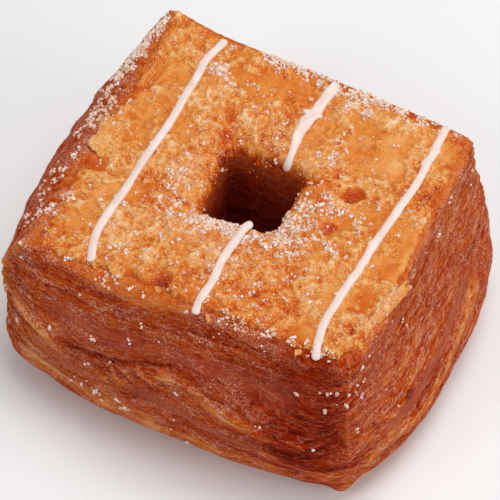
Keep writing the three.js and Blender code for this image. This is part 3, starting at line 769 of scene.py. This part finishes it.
def joined(parts):
    """Points, faces and maps of several parts as those of one mesh."""
    points, faces, uvs = [], [], []
    base = 0
    for places, corners, uv in parts:
        points.append(places)
        faces.extend([[base + corner for corner in face] for face in corners])
        uvs.append(np.reshape(uv, (-1, 2)))
        base += len(places)
    return np.concatenate(points), faces, np.concatenate(uvs)


# Lines of icing: x, from y, to y, bend of the front end, hook of the back end, half width, and the drip's end
ICING_LINES = [
    (-23.7, -30.6, 36, 2.8, 0, 0.92, None), (3.6, 11.4, 35.4, 0, 0, 1.1, 38.2),
    (3, -33.6, -6.6, 1.5, 1.5, 0.9, None), (29.5, -33, 35.2, 1.8, 0, 0.9, None),
]
# Where a line strays to one side: line, y, shift along X and spread
ICING_SWAYS = [
    (0, 28, -0.8, 3.5), (0, 0, -0.45, 5), (0, -17, 0.45, 8), (0, -26.5, 0.5, 2.5), (1, 27, -1.1, 6),
    (1, 19, -1.1, 4.5), (2, -26, 1.25, 5), (3, 14, 0.6, 13), (3, -20, -1.1, 9),
]
# Places where a line is wider on one side: line, y, side, more width and spread
ICING_NUBS = [
    (1, 24.8, 1, 1.4, 0.6), (1, 25.4, -1, 0.7, 0.5), (1, 22.4, 1, 0.5, 1.2), (0, 2.6, 1, 0.5, 0.4),
    (0, -13.6, 1, 0.5, 0.4), (3, -2.2, 1, 0.5, 0.4), (3, 22.8, 1, 0.4, 0.6), (3, 27, -1, 0.4, 0.8),
    (3, -16.8, 1, 0.4, 0.4),
]
ICING_STEP, ICING_SIDES, ICING_HEIGHT, ICING_FLATNESS, ICING_LIFT = 0.3, 16, 0.5, 0.6, 0.1
ICING_WAVE, ICING_WAVE_LENGTH, BEND_LENGTH, HOOK_LENGTH, OVERHANG = 0.3, 7, 8, 2.4, 0.5
PATH_BLUR, NORMAL_BLUR, DRIP_BACK, DRIP_GAP, LEAST_TAPER = 9, 15, 0.1, 0.2, 0.02
# How uneven a line's width is, over what length, and how wide the line with the drip is along Y
WIDTH_NOISE, WIDTH_LENGTH, WIDTH_SEED, WIDTHS_APART = 0.2, 3, 40, 50
DRIP_WIDTH, DRIP_WIDENING, DRIP_RUN = 0.75, 0.4, (12, 22)
MAP_SHARE = 0.9


def icing_path(surface, number):
    """Places along a line of icing, from its front end, and the surface's directions there."""
    middle, start, end, bend, hook, _, drip = ICING_LINES[number]
    y = np.arange(start, end, ICING_STEP)
    x = middle + bend * np.clip((start + BEND_LENGTH - y) / BEND_LENGTH, 0, 1) ** 2
    x = x + hook * np.clip((y - end + HOOK_LENGTH) / HOOK_LENGTH, 0, 1) ** 2
    x = x + ICING_WAVE * np.sin(y / ICING_WAVE_LENGTH + middle)
    x = x + sum(shift * hill(y - at, spread) for strays, at, shift, spread in ICING_SWAYS if strays == number)
    hits = [meet(surface, (a, b, ABOVE), DOWN) for a, b in zip(x, y)]
    if hook:
        level = HEIGHT - OVERHANG
        hits = [hit if hit and hit[0][2] > level else (np.array([a, b, level]), np.array([0, 0, 1]))
                for hit, a, b in zip(hits, x, y)]
    if drip:
        heights = np.arange(drip, hits[0][0][2] - DRIP_GAP, ICING_STEP)
        hits = [meet(surface, (x[0] - DRIP_BACK, 0, z), (0, 1, 0)) for z in heights] + hits
    places, normals = (np.array(found) for found in zip(*filter(None, hits)))
    return smoothed(places, PATH_BLUR, mode="edge"), unit(smoothed(normals, NORMAL_BLUR, mode="edge"))


def icing_bead(surface, number):
    """Points of one line of icing, round each place along it."""
    half, drip = ICING_LINES[number][-2:]
    places, normals = icing_path(surface, number)
    across = unit(np.cross(unit(np.gradient(places, axis=0)), normals))
    run = np.arange(len(places)) * ICING_STEP
    ends = np.minimum(run, run[-1] - run)
    taper = np.sqrt(np.clip(1 - (1 - np.minimum(1, ends / half)) ** 2, LEAST_TAPER, 1))[:, None]
    flow = stack(run / WIDTH_LENGTH, 0 * run, 0 * run)
    widths = []
    for side in (-1, 1):
        width = half * (1 + WIDTH_NOISE * rough_noise(flow + WIDTHS_APART * side, WIDTH_SEED + number))
        if drip:
            width = width * (DRIP_WIDTH + DRIP_WIDENING * step(places[:, 1], *DRIP_RUN))
        for line_number, y, nub_side, more, spread in ICING_NUBS:
            if (line_number, nub_side) == (number, -side):
                width = width + more * hill(places[:, 1] - y, spread)
        widths.append(width[:, None])
    angles = np.linspace(0, 2 * np.pi, ICING_SIDES, endpoint=False)
    side, up = np.cos(angles), np.sin(angles)
    reach = np.where(side > 0, widths[1], widths[0]) * side * taper
    lift = np.sign(up) * np.abs(up) ** ICING_FLATNESS * ICING_HEIGHT * (1 + taper) / 2 + ICING_LIFT
    return places[:, None] + across[:, None] * reach[..., None] + normals[:, None] * lift[..., None]


def build_icing(surface, material):
    """All lines of icing as one piece, each in its own strip of the map."""
    count = len(ICING_LINES)
    parts = []
    for number in range(count):
        bead = icing_bead(surface, number).reshape(-1, 3)
        quads, uv = grid_faces(len(bead) // ICING_SIDES, ICING_SIDES, closed=False)
        ring = range(ICING_SIDES)
        ends = [ring[::-1], range(len(bead) - ICING_SIDES, len(bead))]
        strip = (uv[:, ::-1].reshape(-1, 2) * [1, MAP_SHARE] + [0, number]) / [1, count]
        strip = np.concatenate([strip, [[0, number / count]] * (2 * ICING_SIDES)])
        parts.append((bead, quads[:, ::-1].tolist() + ends, strip))
    points, faces, uv = joined(parts)
    piece = make_piece("icing", points, faces, material, {}, uv)
    return piece


# Large flakes of crust: x, y, length, width, turn in degrees, how far the free edge stands up, and tone
FLAKES = [
    (-33.6, 0.2, 9.6, 6.4, 96, 0.9, 0.68), (38.4, -14.2, 13, 2.4, 80, 0.3, 0.67),
    (34.6, -27.4, 3.6, 2.4, 24, 0.6, 0.62), (-33.4, 19.6, 9, 2.6, 82, 0.3, 0.48),
    (-9.6, -31.4, 5.4, 1.8, -8, 0.5, 0.66), (-15.6, -29.6, 4, 2.4, 160, 0.5, 0.62),
]
FLAKE_GRID, FLAKE_THICKNESS, FLAKE_LIFT = (22, 14), 0.28, 0.08
# How frayed, rounded and streaked a flake is, and how much its free edge rises and waves
FRAYED, FRAYED_SCALE, ROUNDED = 0.3, 1.7, 0.3
STREAK, STREAK_SCALE, STREAK_TONE, LEAN_TONE = 0.1, (0.8, 5), 0.14, 0.06
STAND_FROM, STAND_MEAN, STAND_WAVE, STAND_SCALE = -0.6, 0.7, 0.5, 2
# How far a flake may hang below its middle, and lie below the top
FLAKE_HANG, FLAKE_LOWEST, FLAKE_BLUR = 0.8, HEIGHT - 2.2, 5
# Small chips of crust near the edges of the top
CHIPS, CHIP_GRID, CHIP_TONE = 45, (6, 5), 0.64
CHIP_SIZES, CHIP_SHAPES, CHIP_STANDS = (0.7, 1.9), (0.4, 0.8), (0.1, 0.4)
CHIP_REACH, CHIP_EDGE, CHIP_SPREAD = 33, 33.5, 3


def plate(surface, random, place, size, turn, stand, tone, grid):
    """Points, faces and tones of one thin, ragged flake that lies on the surface along one edge."""
    s, t = np.meshgrid(*(np.linspace(-1, 1, count) for count in grid), indexing="ij")
    seed = int(random.integers(1000))
    frayed = 1 + FRAYED * rough_noise(stack(FRAYED_SCALE * s, FRAYED_SCALE * t, 0 * s), seed, 3)
    reach = frayed * np.sqrt(1 - ROUNDED * (s * t) ** 2) / 2
    u, v = turned(s * reach * size[0], t * reach * size[1], turn)
    x, y = place[0] + u, place[1] + v
    ground = meet(surface, (*place, ABOVE), DOWN)
    if ground is None or ground[0][2] < FLAKE_LOWEST:
        return None
    hits = [meet(surface, (a, b, ABOVE), DOWN) for a, b in zip(x.ravel(), y.ravel())]
    low = ground[0][2] - FLAKE_HANG
    z = np.array([max(low, h[0][2]) if h else low for h in hits]).reshape(x.shape)
    for _ in range(2):
        z = smoothed(z, FLAKE_BLUR, mode="edge").T
    streaks = noise(stack(STREAK_SCALE[0] * s, STREAK_SCALE[1] * t + frayed, 0 * s), seed + 3)
    waves = STAND_MEAN + STAND_WAVE * noise(stack(STAND_SCALE * s, 0 * s, 0 * s), seed + 5)
    z = z + stand * step(t, STAND_FROM, 1) * waves + STREAK * streaks + FLAKE_LIFT
    points = np.concatenate([stack(x, y, z - below).reshape(-1, 3) for below in (0, FLAKE_THICKNESS)])
    n = np.arange(s.size).reshape(grid)
    quads = np.stack([n[:-1, :-1], n[1:, :-1], n[1:, 1:], n[:-1, 1:]], axis=-1).reshape(-1, 4)
    rim = np.concatenate([n[:, 0], n[-1, 1:], n[-2::-1, -1], n[0, -2:0:-1]])
    after = np.roll(rim, -1)
    sides = np.stack([rim, rim + s.size, after + s.size, after], axis=1)
    tones = tone + STREAK_TONE * streaks + LEAN_TONE * t
    return points, np.concatenate([quads, quads[:, ::-1] + s.size, sides]), np.tile(tones.ravel(), 2)


def build_flakes(surface, material):
    """Flakes and chips of crust as one piece."""
    random = np.random.default_rng(8)
    made = [plate(surface, random, (x, y), (a, b), *rest, FLAKE_GRID) for x, y, a, b, *rest in FLAKES]
    for _ in range(CHIPS):
        side = random.integers(4)
        along = random.uniform(-CHIP_REACH, CHIP_REACH)
        inwards = CHIP_EDGE - abs(random.normal(0, CHIP_SPREAD))
        place = [(along, inwards), (along, -inwards), (inwards, along), (-inwards, along)][side]
        length = random.uniform(*CHIP_SIZES)
        size = (length, length * random.uniform(*CHIP_SHAPES))
        turn, stand = random.uniform(0, 360), random.uniform(*CHIP_STANDS)
        made.append(plate(surface, random, place, size, turn, stand, CHIP_TONE, CHIP_GRID))
    made = [m for m in made if m is not None]
    cells = int(np.ceil(len(made) ** 0.5))
    parts = []
    for number, (places, quads, _) in enumerate(made):
        flat = places[:, :2]
        spread = (flat - flat.min(axis=0)) / (flat.max(axis=0) - flat.min(axis=0)) * MAP_SHARE
        parts.append((places, quads.tolist(), (spread[quads] + [number % cells, number // cells]) / cells))
    points, faces, uv = joined(parts)
    tones = np.concatenate([tone for _, _, tone in made])
    numbers = {"tone": tones, "smooth": 0 * tones, "level": 0 * tones + HEIGHT}
    piece = make_piece("flakes", points, faces, material, numbers, uv)
    return piece


# Sugar in patches: x, y, spread along X and Y, number of clumps and grains in each
SUGAR_PATCHES = [
    (1.5, -10.2, 4.6, 1, 46, 6), (0.5, -9.2, 4.2, 0.5, 18, 8), (-7, -12.4, 2.6, 1, 18, 5),
    (-11.5, -32, 3, 0.5, 5, 3), (-18, -32.2, 1.6, 0.5, 4, 3), (22, -31.4, 6, 0.6, 14, 4),
    (13, -30.6, 3, 1.2, 8, 4), (11.5, -4, 1.5, 4.5, 54, 6), (16, -7, 4, 2.5, 30, 5), (17, 2.5, 2.5, 2, 16, 5),
    (-38.6, 32, 0.8, 2.6, 16, 7), (-40, 26, 1, 2.8, 32, 7), (-40.6, 18, 1.1, 2.8, 24, 7),
    (-39.4, 8, 1.5, 5, 28, 5), (-39, -12, 1.6, 8, 24, 4), (-33.4, -17.4, 0.8, 0.8, 3, 9),
    (-37, -22.3, 1, 1, 5, 8), (8, 34.2, 7, 0.9, 42, 8), (-9, 35.4, 5, 0.8, 36, 8), (23, 33.4, 4.5, 1, 18, 5),
    (11, 31.5, 3, 1.2, 18, 8), (-20.9, 26.4, 1.1, 0.9, 12, 8), (-17.5, 25, 1.2, 0.8, 5, 6),
    (-16.2, -1.6, 0.8, 0.9, 4, 8), (-14, -8, 2.2, 4, 20, 4), (12.8, 15.5, 2.2, 2, 8, 5),
    (26.5, 0.8, 2, 2, 6, 4), (-20, -25, 5, 4, 14, 3), (6, -20, 9, 6, 60, 2.2), (0, 0, 22, 22, 200, 2),
]
CLUMP_SPREAD, CLUMP_GROWTH = 0.2, 0.09
# Finer grains in patches: x, y, spread along X and Y, and number
DUST_PATCHES = [
    (38.4, -13, 0.8, 4.5, 170), (36.2, -21, 1.2, 2, 60), (-15, -4, 3.5, 7, 420), (0, -14.5, 9, 3.5, 650),
    (14, -2, 3.5, 6, 420), (-3, 14.5, 7, 3, 300),
]
# Dust all over: number, reach, what smooth crust sheds, and size, seed and share of its two unevennesses
DUST, DUST_REACH, DUST_SHED = 10000, (35, 33), 0.5
DUST_NOISE, DUST_CROWDS = [(2.4, 61, 1), (9, 62, 0.7)], (-0.1, 0.7)
# Sugar in patches on the sides: degrees round the ring, height, spread of each, and number of clumps
SIDE_PATCHES = [
    (254, 14.4, 2.5, 1.5, 7), (262, 12.6, 5, 0.8, 7), (254.5, 27.4, 0.3, 0.2, 2), (329, 31, 3, 2.5, 6),
    (350, 37, 12, 2, 10),
]
SIDE_CLUMPS, SIDE_CLUMP, SIDE_SCATTER = 64, 1.4, (0.4, 0.3)
SIDE_TOP, SIDE_SPREAD, SIDE_LOWEST, TOP_LOWEST = HEIGHT - 2, 14, 3, HEIGHT - 9
GRAIN_SIZES, DUST_SIZES = (0.28, 0.66), (0.14, 0.34)
GRAIN_TINTS, SIDE_TINTS, DUST_TINTS, TINT_SPREAD = (0.25, 1), (0.3, 1), (0, 0.6), 0.25
GRAIN_SKEW, GRAIN_STRETCH, GRAIN_LIFT = 0.16, (0.72, 1), 0.14
CUBE = np.array(list(itertools.product((-0.5, 0.5), repeat=3)))
CUBE_FACES = np.array([[0, 1, 3, 2], [4, 6, 7, 5], [0, 4, 5, 1], [2, 3, 7, 6], [0, 2, 6, 4], [1, 5, 7, 3]])
CELL = np.array([[0.1, 0.1], [0.9, 0.1], [0.9, 0.9], [0.1, 0.9]])


def random_turns(random, count):
    """Rotation matrices spread evenly."""
    return np.array([Quaternion(turn).to_matrix() for turn in unit(random.normal(size=(count, 4)))])


def sugar_places(surface, random):
    """Where grains lie, the surface's directions there, and their sizes and tints."""
    plan = []
    for x, y, along, across, clumps, each in SUGAR_PATCHES:
        for middle in random.normal((x, y), (along, across), (clumps, 2)):
            count = 1 + random.poisson(each - 1)
            plan.append(middle + random.normal(0, CLUMP_SPREAD + CLUMP_GROWTH * count ** 0.5, (count, 2)))
    plan = np.concatenate(plan)
    dust = random.uniform(-1, 1, (DUST, 2)) * DUST_REACH
    flat = np.pad(dust, ((0, 0), (0, 1)))
    crowded = step(sum(share * noise(flat / size, seed) for size, seed, share in DUST_NOISE), *DUST_CROWDS)
    dust = [dust[random.uniform(0, 1, DUST) < crowded]]
    for x, y, along, across, count in DUST_PATCHES:
        dust.append(random.normal((x, y), (along, across), (count, 2)))
    dust = np.concatenate(dust)
    sleek = crust_relief(*dust.T)[2]
    dust = dust[random.uniform(0, 1, len(dust)) > DUST_SHED * sleek]
    kinds = [(GRAIN_SIZES, GRAIN_TINTS, len(plan)), (DUST_SIZES, DUST_TINTS, len(dust))]
    sizes = np.concatenate([random.uniform(*size, count) for size, _, count in kinds])
    tints = np.concatenate([random.uniform(*tint, count) for _, tint, count in kinds])
    found = []
    for (x, y), size, tint in zip(np.concatenate([plan, dust]), sizes, tints):
        hit = meet(surface, (x, y, ABOVE), DOWN)
        if hit and hit[0][2] > TOP_LOWEST:
            found.append((*hit, size, tint))
    spots = []
    for _ in range(SIDE_CLUMPS):
        spots.append((random.uniform(0, 360), SIDE_TOP - abs(random.normal(0, SIDE_SPREAD))))
    for angle, height, wide, high, clumps in SIDE_PATCHES:
        spots.extend(random.normal((angle, height), (wide, high), (clumps, 2)))
    for spot in spots:
        for _ in range(1 + random.poisson(SIDE_CLUMP)):
            angle, height = random.normal(spot, SIDE_SCATTER)
            ray = np.append(on_square(np.radians(angle)), 0)
            hit = meet(surface, [0, 0, height] + WIDTH * ray, -ray)
            if hit and height > SIDE_LOWEST:
                found.append((*hit, random.uniform(*GRAIN_SIZES), random.uniform(*SIDE_TINTS)))
    return (np.array(values) for values in zip(*found))


def build_sugar(surface, material):
    """Grains of sugar as one piece."""
    random = np.random.default_rng(5)
    places, normals, sizes, tints = sugar_places(surface, random)
    count = len(places)
    shapes = CUBE + random.uniform(-GRAIN_SKEW, GRAIN_SKEW, (count, 8, 3))
    shapes = shapes * random.uniform(*GRAIN_STRETCH, (count, 1, 3)) * sizes[:, None, None]
    grains = np.einsum("nij,nkj->nki", random_turns(random, count), shapes)
    points = grains + (places + normals * (GRAIN_LIFT * sizes)[:, None])[:, None]
    faces = (CUBE_FACES + 8 * np.arange(count)[:, None, None]).reshape(-1, 4)
    tints = np.clip(np.repeat(tints, 8) + random.uniform(-TINT_SPREAD, TINT_SPREAD, 8 * count), 0, 1)
    cells = int(np.ceil(count ** 0.5))
    cell = np.stack([np.arange(count) % cells, np.arange(count) // cells], axis=1)
    uv = (np.repeat(cell, 24, axis=0) + np.tile(CELL, (6 * count, 1))) / cells
    piece = make_piece("sugar", points, faces.tolist(), material, {"tone": tints}, uv, smooth=False)
    return piece


# Materials

# Browning of the crust, of the layers and of the skin below the crust, from nearly burnt to palest
CRUST_BROWNING = [
    (0, (110, 24, 2)), (0.15, (156, 46, 4)), (0.3, (194, 72, 6)), (0.45, (213, 103, 20)),
    (0.6, (226, 138, 54)), (0.75, (237, 166, 94)), (0.9, (246, 198, 146)), (1, (247, 212, 174)),
]
LAYER_BROWNING = [
    (0, (84, 10, 0)), (0.15, (134, 26, 0)), (0.3, (168, 51, 2)), (0.45, (190, 77, 8)),
    (0.6, (208, 110, 36)), (0.75, (223, 142, 76)), (0.9, (234, 170, 124)), (1, (242, 194, 156)),
]
SKIN_BROWNING = [
    (0, (120, 26, 2)), (0.3, (192, 66, 6)), (0.5, (212, 106, 30)), (0.7, (227, 138, 62)),
    (1, (242, 184, 124)),
]
# Painted glints of oil on the layers, pale colour standing in for highlights, from the darkest layers to the
# palest, and other shades
PAINTED_GLINT_TINTS = [(0.12, (206, 118, 88)), (0.45, (243, 198, 174))]
SUGAR_TINTS = [(0, (228, 154, 92)), (0.5, (240, 202, 174)), (1, (252, 241, 236))]
ICING_TINTS = [(0.25, (240, 214, 202)), (0.75, (249, 230, 222))]
FLOOR_TINTS = [(0, (248, 248, 248)), (1, (252, 252, 252))]
# Painted sparkle of the crust and painted oily shine of smooth layers: highlight and reflection painted as
# colour
CRUST_PAINTED_GLINT, LAYER_PAINTED_SHEEN = (252, 226, 198), (168, 94, 74)


def colour(red, green, blue):
    """A colour from display values of 0 to 255."""
    values = np.array([red, green, blue]) / 255
    linear = np.where(values <= 0.04045, values / 12.92, ((values + 0.055) / 1.055) ** 2.4)
    return (*linear, 1)


class Look:
    """A node material, with short ways to add nodes to it."""

    def __init__(self, name):
        self.material = bpy.data.materials.new(name)
        self.material.use_nodes = True
        self.tree = self.material.node_tree
        self.place = self.node("TexCoord", {})["Object"]

    def give(self, node, inputs):
        """Sets or links a node's inputs."""
        for key, value in inputs.items():
            if isinstance(value, bpy.types.NodeSocket):
                self.tree.links.new(value, node.inputs[key])
            else:
                node.inputs[key].default_value = value

    def node(self, kind, inputs, **settings):
        """The outputs of a new node."""
        node = self.tree.nodes.new("ShaderNode" + kind)
        for key, value in settings.items():
            setattr(node, key, value)
        self.give(node, inputs)
        return node.outputs

    def surface(self, **inputs):
        """The finished material, given inputs of its shader with _ for each space."""
        shader = self.tree.nodes["Principled BSDF"]
        self.give(shader, {key.replace("_", " "): value for key, value in inputs.items()})
        return self.material

    def attribute(self, name):
        """A number that the mesh holds at its points."""
        return self.node("Attribute", {}, attribute_name=name)["Fac"]

    def maths(self, operation, *values):
        """A step between numbers."""
        return self.node("Math", dict(enumerate(values)), operation=operation)[0]

    def plus(self, *values):
        """A sum of two numbers."""
        return self.maths("ADD", *values)

    def times(self, *values):
        """A product of two numbers."""
        return self.maths("MULTIPLY", *values)

    def around_zero(self, value, size):
        """Noise turned into a change of up to half its size either way."""
        return self.maths("MULTIPLY_ADD", value, size, -size / 2)

    def ranged(self, value, low, high, start=0.0, end=1.0):
        """A number brought from start..end to low..high."""
        inputs = {"Value": value, "From Min": start, "From Max": end, "To Min": low, "To Max": high}
        return self.node("MapRange", inputs)["Result"]

    def speckle(self, scale, detail=3, roughness=0.6, vector=None):
        """Noise from 0 to 1 of so many features to the metre, or to the unit of another vector."""
        inputs = {"Vector": vector or self.place, "Scale": scale, "Detail": detail, "Roughness": roughness}
        return self.node("TexNoise", inputs)["Fac"]

    def streaks(self, along, across, detail=3, roughness=0.6):
        """Noise stretched along the layers: features of given size in millimetres."""
        split = self.node("SeparateXYZ", {"Vector": self.place})
        x, y = (self.times(split[k], 1 / (along * MM)) for k in "XY")
        level = self.times(self.attribute("level"), 1 / across)
        vector = self.node("CombineXYZ", {"X": x, "Y": y, "Z": level})[0]
        return self.speckle(1, detail, roughness, vector)

    def threads(self, along, across, width):
        """Thin lines that run along the layers, 1 on each line."""
        away = self.maths("ABSOLUTE", self.maths("SUBTRACT", self.streaks(along, across, 1, 0.5), 0.5))
        return self.ranged(away, 1, 0, 0, width)

    def ramp(self, value, stops):
        """Colours along a number from 0 to 1."""
        shades = self.node("ValToRGB", {"Fac": value})["Color"]
        elements = shades.node.color_ramp.elements
        for place, _ in stops[1:-1]:
            elements.new(place)
        elements[0].position, elements[-1].position = stops[0][0], stops[-1][0]
        for element, (_, shade) in zip(elements, stops):
            element.color = colour(*shade)
        return shades

    def mixed(self, share, first, second):
        """A colour between two, each linked or set."""
        return self.node("MixRGB", {"Fac": share, "Color1": first, "Color2": second})["Color"]

    def bump(self, height, strength, distance):
        """Fine relief, with its distance in millimetres."""
        inputs = {"Height": height, "Strength": strength, "Distance": distance * MM}
        return self.node("Bump", inputs)["Normal"]


def crust_material():
    """Golden, crumbly crust with smooth amber windows, and painted glints: sparkle painted into its colour as
    pale specks.
    """
    look = Look("golden_crust")
    smooth = look.attribute("smooth")
    rough = look.maths("SUBTRACT", 1, smooth)
    mottle, grain, spark = look.speckle(650), look.speckle(2000), look.speckle(3000, 1)
    tone = look.plus(look.attribute("tone"), look.around_zero(mottle, 0.32))
    tone = look.plus(tone, look.times(look.ranged(grain, -0.02, 0.2, 0.45, 0.7), look.ranged(rough, 0.1, 1)))
    # Painted glints: pale specks in the colour stand in for sparkling highlights
    painted_glint = look.times(look.ranged(spark, 0, 0.6, 0.61, 0.7), look.ranged(rough, 0.35, 1))
    return look.surface(
        Base_Color=look.mixed(painted_glint, look.ramp(tone, CRUST_BROWNING), colour(*CRUST_PAINTED_GLINT)),
        Roughness=look.plus(look.ranged(smooth, 0.5, 0.28), look.around_zero(mottle, 0.2)),
        Normal=look.bump(look.plus(look.times(grain, rough), mottle), 0.6, 0.4),
        Specular_IOR_Level=0.12,
    )


def dough_material():
    """Red-brown fried layers with painted oily shine and painted glints, golden where a layer stands out."""
    look = Look("fried_layers")
    smooth, drawn, covered = (look.attribute(name) for name in ("smooth", "drawn", "skin"))
    rough = look.maths("SUBTRACT", 1, smooth)
    partly_rough = look.ranged(rough, 0.3, 1)
    streak, fibre, crowd = look.streaks(6, 0.5, 4, 0.65), look.streaks(1.2, 0.34), look.streaks(5, 2)
    mottle, grain, spark = look.speckle(420), look.speckle(1900), look.speckle(2600, 2)
    tone = look.attribute("tone")
    for texture, size in ((streak, 0.35), (fibre, 0.5), (mottle, 0.25), (grain, 0.35)):
        tone = look.plus(tone, look.times(look.around_zero(texture, size), partly_rough))
    base = look.mixed(covered, look.ramp(tone, LAYER_BROWNING), look.ramp(tone, SKIN_BROWNING))
    # Painted reflection: smooth bands are mixed towards a pinkish-brown oily shine
    base = look.mixed(look.times(look.attribute("painted_sheen"), 0.6), base, colour(*LAYER_PAINTED_SHEEN))

    # Painted glints: highlights painted as pale colour along threads where the layers are drawn out, and in
    # patches elsewhere
    long_threads = look.times(look.threads(4, 1, 0.055), drawn)
    short_threads = look.times(look.threads(1.7, 0.7, 0.035), look.ranged(drawn, 0.5, 0))
    thread = look.times(look.plus(long_threads, short_threads), look.ranged(spark, 0.1, 1, 0.4, 0.58))
    patch = look.times(look.ranged(crowd, 0, 0.75, 0.44, 0.6), look.ranged(drawn, 1, 0.35))
    patch = look.times(patch, look.ranged(spark, 0, 1, 0.47, 0.59))
    painted_glint = look.times(look.maths("MAXIMUM", thread, patch), look.times(rough, look.ranged(covered, 1, 0.4)))
    height = look.plus(look.maths("MULTIPLY_ADD", grain, 0.6, streak), fibre)
    return look.surface(
        Base_Color=look.mixed(look.times(painted_glint, 0.9), base, look.ramp(tone, PAINTED_GLINT_TINTS)),
        Roughness=look.plus(look.ranged(mottle, 0.3, 0.5), look.around_zero(fibre, 0.2)),
        Normal=look.bump(look.times(height, partly_rough), 0.8, 0.6),
        Specular_IOR_Level=0.02,
    )


def icing_material():
    """Set white icing, a little warm and uneven."""
    look = Look("white_icing")
    cloud = look.speckle(320)
    return look.surface(
        Base_Color=look.ramp(cloud, ICING_TINTS),
        Roughness=look.ranged(cloud, 0.34, 0.5),
        Normal=look.bump(cloud, 0.35, 0.3),
    )


def sugar_material():
    """Clear to white grains."""
    look = Look("sugar_grains")
    tint = look.ramp(look.attribute("tone"), SUGAR_TINTS)
    return look.surface(Base_Color=tint, Roughness=look.ranged(look.speckle(3000), 0.1, 0.3))


def floor_material():
    """Plain pale floor."""
    look = Look("pale_floor")
    return look.surface(Base_Color=look.ramp(look.speckle(6), FLOOR_TINTS), Roughness=0.8)


# Stage: floor, light and camera, in metres

CAMERA_TARGET = Vector((-1.1, 1.15, 21.95)) * MM
CAMERA_DISTANCE = 544.36 * MM
CAMERA_AZIMUTH, CAMERA_ELEVATION = np.radians(26.5), np.radians(52)
CAMERA_SENSOR, CAMERA_LENS, CAMERA_CLIP = 36, 183, 0.01
FLOOR_HALF, SURROUND = 2, 0.36
# Name, place, size and power of each light
LIGHTS = [
    ("overhead", (0.1, 0.18, 0.75), 0.5, 3),
    ("right", (0.75, -0.15, 0.42), 0.4, 1.9),
    ("front_left", (-0.35, -0.7, 0.65), 0.4, 1.2),
]


def add_floor():
    """A pale floor under the doughnut."""
    mesh = bpy.data.meshes.new("floor")
    corners = [(a * FLOOR_HALF, b * FLOOR_HALF, 0) for a, b in ((-1, -1), (1, -1), (1, 1), (-1, 1))]
    mesh.from_pydata(corners, [], [(0, 1, 2, 3)])
    mesh.materials.append(floor_material())
    add_object("floor", mesh)


def add_lights():
    """Soft lights that face the doughnut, and an even white surround."""
    world = bpy.data.worlds.new("white_surround")
    world.use_nodes = True
    sky = world.node_tree.nodes["Background"].inputs
    sky["Color"].default_value = (1, 1, 1, 1)
    sky["Strength"].default_value = SURROUND
    bpy.context.scene.world = world
    for name, place, size, watts in LIGHTS:
        light = bpy.data.lights.new(name, "AREA")
        light.size = size
        light.energy = watts
        lamp = add_object(name, light)
        lamp.location = place
        lamp.rotation_euler = (CAMERA_TARGET - lamp.location).to_track_quat("-Z", "Y").to_euler()


def add_camera():
    """The photograph's view."""
    data = bpy.data.cameras.new("camera")
    data.sensor_width = CAMERA_SENSOR
    data.lens = CAMERA_LENS
    data.clip_start = CAMERA_CLIP
    camera = add_object("camera", data)
    flat = np.cos(CAMERA_ELEVATION)
    back = Vector((np.sin(CAMERA_AZIMUTH) * flat, -np.cos(CAMERA_AZIMUTH) * flat, np.sin(CAMERA_ELEVATION)))
    camera.location = CAMERA_TARGET + back * CAMERA_DISTANCE
    camera.rotation_euler = (-back).to_track_quat("-Z", "Y").to_euler()
    bpy.context.scene.camera = camera
    bpy.context.scene.view_settings.view_transform = "Standard"


add_floor()
add_lights()
add_camera()
fried_layers = dough_material()
golden_crust = crust_material()
body = [build_core(fried_layers), *build_layers(fried_layers), build_crust(golden_crust)]
surface = surface_of(*body)
build_icing(surface, icing_material())
build_sugar(surface_of(*body, build_flakes(surface, golden_crust)), sugar_material())

bpy.context.view_layer.update()
